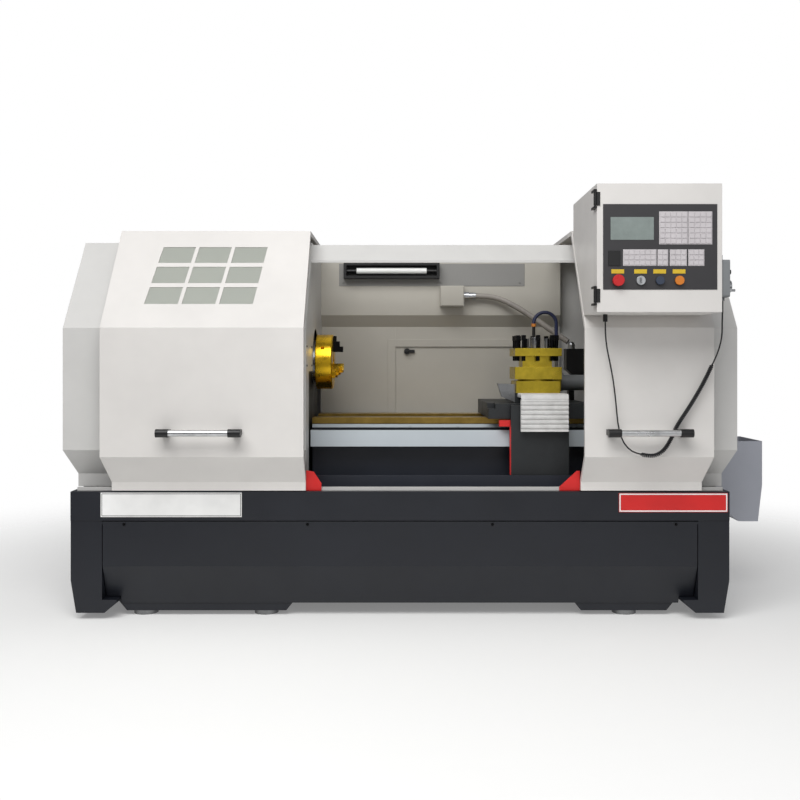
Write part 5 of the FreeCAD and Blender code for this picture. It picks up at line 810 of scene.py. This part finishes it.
def bellows_cover(materials):
    """Pleated cloth that runs forward from the cross slide and hangs in front of the apron."""
    details = bpy.context.scene.lathe_details
    low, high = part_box("bellows")
    thick = 0.03
    bend = 0.02
    outer_y = low.y
    top_z = high.z
    down = top_z - bend - low.z
    back = high.y - (outer_y + bend)
    steps = 8
    front_wall = 0.008
    top_wall = 0.012
    line = []
    for k in range(details.pleats * steps + 1):
        t = k / (details.pleats * steps)
        dip = details.pleat_depth * (0.5 - 0.5 * math.cos(2 * math.pi * details.pleats * t)) ** 3
        line.append((outer_y + dip, low.z + down * t))
    for k in range(1, steps + 1):
        angle = math.pi / 2 * k / steps
        line.append((outer_y + bend - bend * math.cos(angle), top_z - bend + bend * math.sin(angle)))
    folds = 5
    for k in range(1, folds * steps + 1):
        t = k / (folds * steps)
        dip = details.pleat_depth * (0.5 - 0.5 * math.cos(2 * math.pi * folds * t)) ** 3
        line.append((outer_y + bend + back * t, top_z - dip))
    vertices = []
    for y, z in line:
        vertices += [(low.x, y, z), (high.x, y, z)]
    inner = []
    for y, z in line:
        hangs = z < top_z - bend
        inner_y = max(y + front_wall, min(y + thick, outer_y + thick)) if hangs else y
        inner_z = z if hangs else z - top_wall
        inner += [(low.x, inner_y, inner_z), (high.x, inner_y, inner_z)]
    count = len(line)
    faces = []
    for i in range(count - 1):
        a = 2 * i
        b = a + 2 * count
        faces += [(a, a + 1, a + 3, a + 2), (b + 2, b + 3, b + 1, b)]
        faces += [(a, a + 2, b + 2, b), (a + 1, b + 1, b + 3, a + 3)]
    last = 2 * (count - 1)
    faces.append((0, 2 * count, 2 * count + 1, 1))
    faces.append((last, last + 1, last + 1 + 2 * count, last + 2 * count))
    cover = mesh_object("bellows_cover", vertices + inner, faces, materials["bellows"])
    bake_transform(cover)
    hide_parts("bellows")


def segmented_hose(materials):
    """Ball-and-socket segments of the coolant hose along its arch."""
    centre = place(669, 15, 1232)
    bend = 0.052
    bead_pitch = 0.014
    parts = [centre + Vector((bend, 0, -0.058 + k * bead_pitch)) for k in range(4)]
    arch_beads = 12
    for k in range(arch_beads):
        angle = math.pi * (k + 0.5) / arch_beads
        parts.append(centre + Vector((bend * math.cos(angle), 0, bend * math.sin(angle))))
    vertices = []
    faces = []
    around = 16
    # Distance along the bead and radius there
    profile = [
        (-0.0066, 0.0052),
        (-0.0050, 0.0078),
        (-0.0015, 0.0086),
        (0.0030, 0.0078),
        (0.0058, 0.0058),
    ]
    for i, spot in enumerate(parts):
        after = parts[min(i + 1, len(parts) - 1)]
        before = parts[max(i - 1, 0)]
        along = (after - before).normalized()
        side = along.cross(Vector((0, 1, 0))).normalized()
        base = len(vertices)
        for shift, r in profile:
            for k in range(around):
                angle = 2 * math.pi * k / around
                out = side * math.cos(angle) + Vector((0, 1, 0)) * math.sin(angle)
                vertices.append(spot + along * shift + out * r)
        rings = len(profile)
        for j in range(rings - 1):
            for k in range(around):
                a = base + j * around + k
                b = base + j * around + (k + 1) % around
                faces.append((a, b, b + around, a + around))
        faces.append(tuple(base + k for k in range(around))[::-1])
        faces.append(tuple(base + (rings - 1) * around + k for k in range(around)))
    hose = mesh_object("coolant_segments", vertices, faces, materials["hose_blue"], smooth=True)
    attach(hose, "cross_slide_body")


PLATE_FACE_Y = -486.7


def plate_border(materials, name, material, x0, x1, z0, z1, width):
    """A thin printed border just proud of a name plate."""
    a = place(x0, PLATE_FACE_Y, z0)
    b = place(x1, PLATE_FACE_Y, z1)
    w = width / 1000
    outer = [(a.x, a.z), (b.x, a.z), (b.x, b.z), (a.x, b.z)]
    inner = [(a.x + w, a.z + w), (b.x - w, a.z + w), (b.x - w, b.z - w), (a.x + w, b.z - w)]
    vertices = [(x, a.y, z) for x, z in outer + inner]
    faces = [(i, (i + 1) % 4, 4 + (i + 1) % 4, 4 + i) for i in range(4)]
    border = mesh_object(name, vertices, faces, materials[material])
    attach(border, "machine")


# ------------------------------------------------------------------ stage


def softbox(name, spot, aim, size, power):
    data = bpy.data.lights.new(name, "AREA")
    data.shape = "RECTANGLE"
    data.size, data.size_y = size
    data.energy = power
    light = bpy.data.objects.new(name, data)
    bpy.context.scene.collection.objects.link(light)
    light.location = spot
    light.rotation_euler = (Vector(aim) - Vector(spot)).to_track_quat("-Z", "Y").to_euler()
    return light


def paper():
    """Matt seamless paper that fades into the white backdrop a few metres out."""
    material, tree, out, where = new_material("seamless_paper")
    shader = add_node(
        tree,
        "ShaderNodeBsdfPrincipled",
        {
            "Base Color": linear("eaeae8"),
            "Roughness": 0.9,
            "Specular IOR Level": 0.1,
            "Emission Color": linear("ffffff"),
            "Emission Strength": bpy.context.scene.lathe_stage.paper_glow,
        },
    )
    reach = add_node(tree, "ShaderNodeVectorMath", {"operation": "LENGTH"}, {0: where})
    fade = add_node(
        tree,
        "ShaderNodeMapRange",
        {"interpolation_type": "SMOOTHSTEP", "From Min": 1.5, "From Max": 4.0},
        {"Value": reach.outputs["Value"]},
    )
    clear = add_node(tree, "ShaderNodeBsdfTransparent")
    mix = add_node(
        tree,
        "ShaderNodeMixShader",
        links={0: fade.outputs["Result"], 1: shader.outputs["BSDF"], 2: clear.outputs["BSDF"]},
    )
    tree.links.new(mix.outputs["Shader"], out.inputs["Surface"])
    return material


def studio_world():
    """Soft light from all round, in front of a backdrop that the camera sees as white."""
    settings = bpy.context.scene.lathe_stage
    world = bpy.data.worlds.new("studio")
    world.use_nodes = True
    tree = world.node_tree
    tree.nodes.clear()
    out = add_node(tree, "ShaderNodeOutputWorld")
    ambient = {"Color": linear("fbfbff"), "Strength": settings.ambient}
    around = add_node(tree, "ShaderNodeBackground", ambient)
    backdrop = add_node(tree, "ShaderNodeBackground", {"Color": linear("ffffff"), "Strength": 1.0})
    rays = add_node(tree, "ShaderNodeLightPath")
    mix = add_node(
        tree,
        "ShaderNodeMixShader",
        links={
            0: rays.outputs["Is Camera Ray"],
            1: around.outputs["Background"],
            2: backdrop.outputs["Background"],
        },
    )
    tree.links.new(mix.outputs["Shader"], out.inputs["Surface"])
    return world


def build_stage():
    settings = bpy.context.scene.lathe_stage
    floor = mesh_object(
        "floor", [(-30, -30, 0), (30, -30, 0), (30, 30, 0), (-30, 30, 0)], [(0, 1, 2, 3)], paper()
    )
    middle = (0.0, 0.0, 0.9)
    lights = [
        softbox("key_softbox", (-1.0, -3.6, 4.4), middle, (4.5, 3.0), settings.key_power),
        softbox("front_fill", (1.8, -6.0, 2.2), middle, (4.0, 3.0), settings.fill_power),
        softbox("top_wash", (0.0, 1.0, 5.0), middle, (5.0, 3.0), settings.top_power),
    ]
    scene = bpy.context.scene
    scene.world = studio_world()
    scene.view_settings.view_transform = "Standard"
    data = bpy.data.cameras.new("catalogue_camera")
    data.lens = settings.lens
    data.sensor_width = 36.0
    data.shift_y = settings.rise
    camera = bpy.data.objects.new("catalogue_camera", data)
    scene.collection.objects.link(camera)
    camera.location = SPINDLE_OFFSET + Vector((0, -settings.distance, settings.height))
    camera.rotation_euler = (math.pi / 2, 0, 0)
    scene.camera = camera


# ------------------------------------------------------------------ operators

FINISHES = {}


class LATHE_OT_stage(bpy.types.Operator):
    """Set the camera, the studio light and the floor"""

    bl_idname = "lathe.stage"
    bl_label = "Build Stage"

    def execute(self, context):
        build_stage()
        return {"FINISHED"}


class LATHE_OT_finishes(bpy.types.Operator):
    """Give every piece of the frame its finish"""

    bl_idname = "lathe.finishes"
    bl_label = "Paint Frame"

    def execute(self, context):
        FINISHES.update(make_materials())
        unpainted = set(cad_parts) - set(NODE_FINISH)
        if unpainted:
            raise RuntimeError("no finish for %s" % sorted(unpainted))
        for name, finish_name in NODE_FINISH.items():
            set_finish(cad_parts[name], FINISHES[finish_name])
        for name, finish_name, (x0, y0, z0, x1, y1, z1) in PIECE_FINISH:
            paint_piece(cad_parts[name], FINISHES[finish_name], place(x0, y0, z0), place(x1, y1, z1))
        return {"FINISHED"}


class LATHE_OT_cords(bpy.types.Operator):
    """Model the pendant's lead and the carriage's conduit"""

    bl_idname = "lathe.cords"
    bl_label = "Model Cords"

    def execute(self, context):
        pendant_cord(FINISHES)
        conduit_hose(FINISHES)
        return {"FINISHED"}


class LATHE_OT_bellows(bpy.types.Operator):
    """Model the pleated cover of the cross slide"""

    bl_idname = "lathe.bellows"
    bl_label = "Model Bellows"

    def execute(self, context):
        bellows_cover(FINISHES)
        return {"FINISHED"}


class LATHE_OT_hose(bpy.types.Operator):
    """Model the segments of the coolant hose"""

    bl_idname = "lathe.hose"
    bl_label = "Model Coolant Hose"

    def execute(self, context):
        segmented_hose(FINISHES)
        return {"FINISHED"}


class LATHE_OT_plates(bpy.types.Operator):
    """Add the thin borders of the two plain plates"""

    bl_idname = "lathe.plates"
    bl_label = "Add Plate Borders"

    def execute(self, context):
        plate_border(FINISHES, "red_plate_border", "plate_white", 897, 1338, 443, 517, 5)
        plate_border(FINISHES, "white_plate_border", "black_plastic", -1220, -651, 425, 517, 2)
        return {"FINISHED"}


class LATHE_PT_panel(bpy.types.Panel):
    """Lathe settings and steps"""

    bl_idname = "LATHE_PT_panel"
    bl_label = "Turning Lathe"
    bl_space_type = "VIEW_3D"
    bl_region_type = "UI"
    bl_category = "Lathe"

    def draw(self, context):
        for group_name, group in SETTINGS.items():
            for name in group.__annotations__:
                self.layout.prop(getattr(context.scene, group_name), name)
        for operator in OPERATORS:
            self.layout.operator(operator.bl_idname)


OPERATORS = (
    LATHE_OT_stage,
    LATHE_OT_finishes,
    LATHE_OT_cords,
    LATHE_OT_bellows,
    LATHE_OT_hose,
    LATHE_OT_plates,
)
SETTINGS = {
    "lathe_finish": LatheFinishSettings,
    "lathe_colours": LatheColourSettings,
    "lathe_details": LatheDetailSettings,
    "lathe_stage": LatheStageSettings,
}
CLASSES = (*SETTINGS.values(), *OPERATORS, LATHE_PT_panel)


def register():
    for cls in CLASSES:
        bpy.utils.register_class(cls)
    for name, group in SETTINGS.items():
        setattr(bpy.types.Scene, name, bpy.props.PointerProperty(type=group))


def unregister():
    for name in SETTINGS:
        delattr(bpy.types.Scene, name)
    for cls in reversed(CLASSES):
        bpy.utils.unregister_class(cls)


def main():
    register()
    bpy.ops.lathe.stage()
    bpy.ops.lathe.finishes()
    bpy.ops.lathe.cords()
    bpy.ops.lathe.bellows()
    bpy.ops.lathe.hose()
    bpy.ops.lathe.plates()


if __name__ == "__main__":
    main()
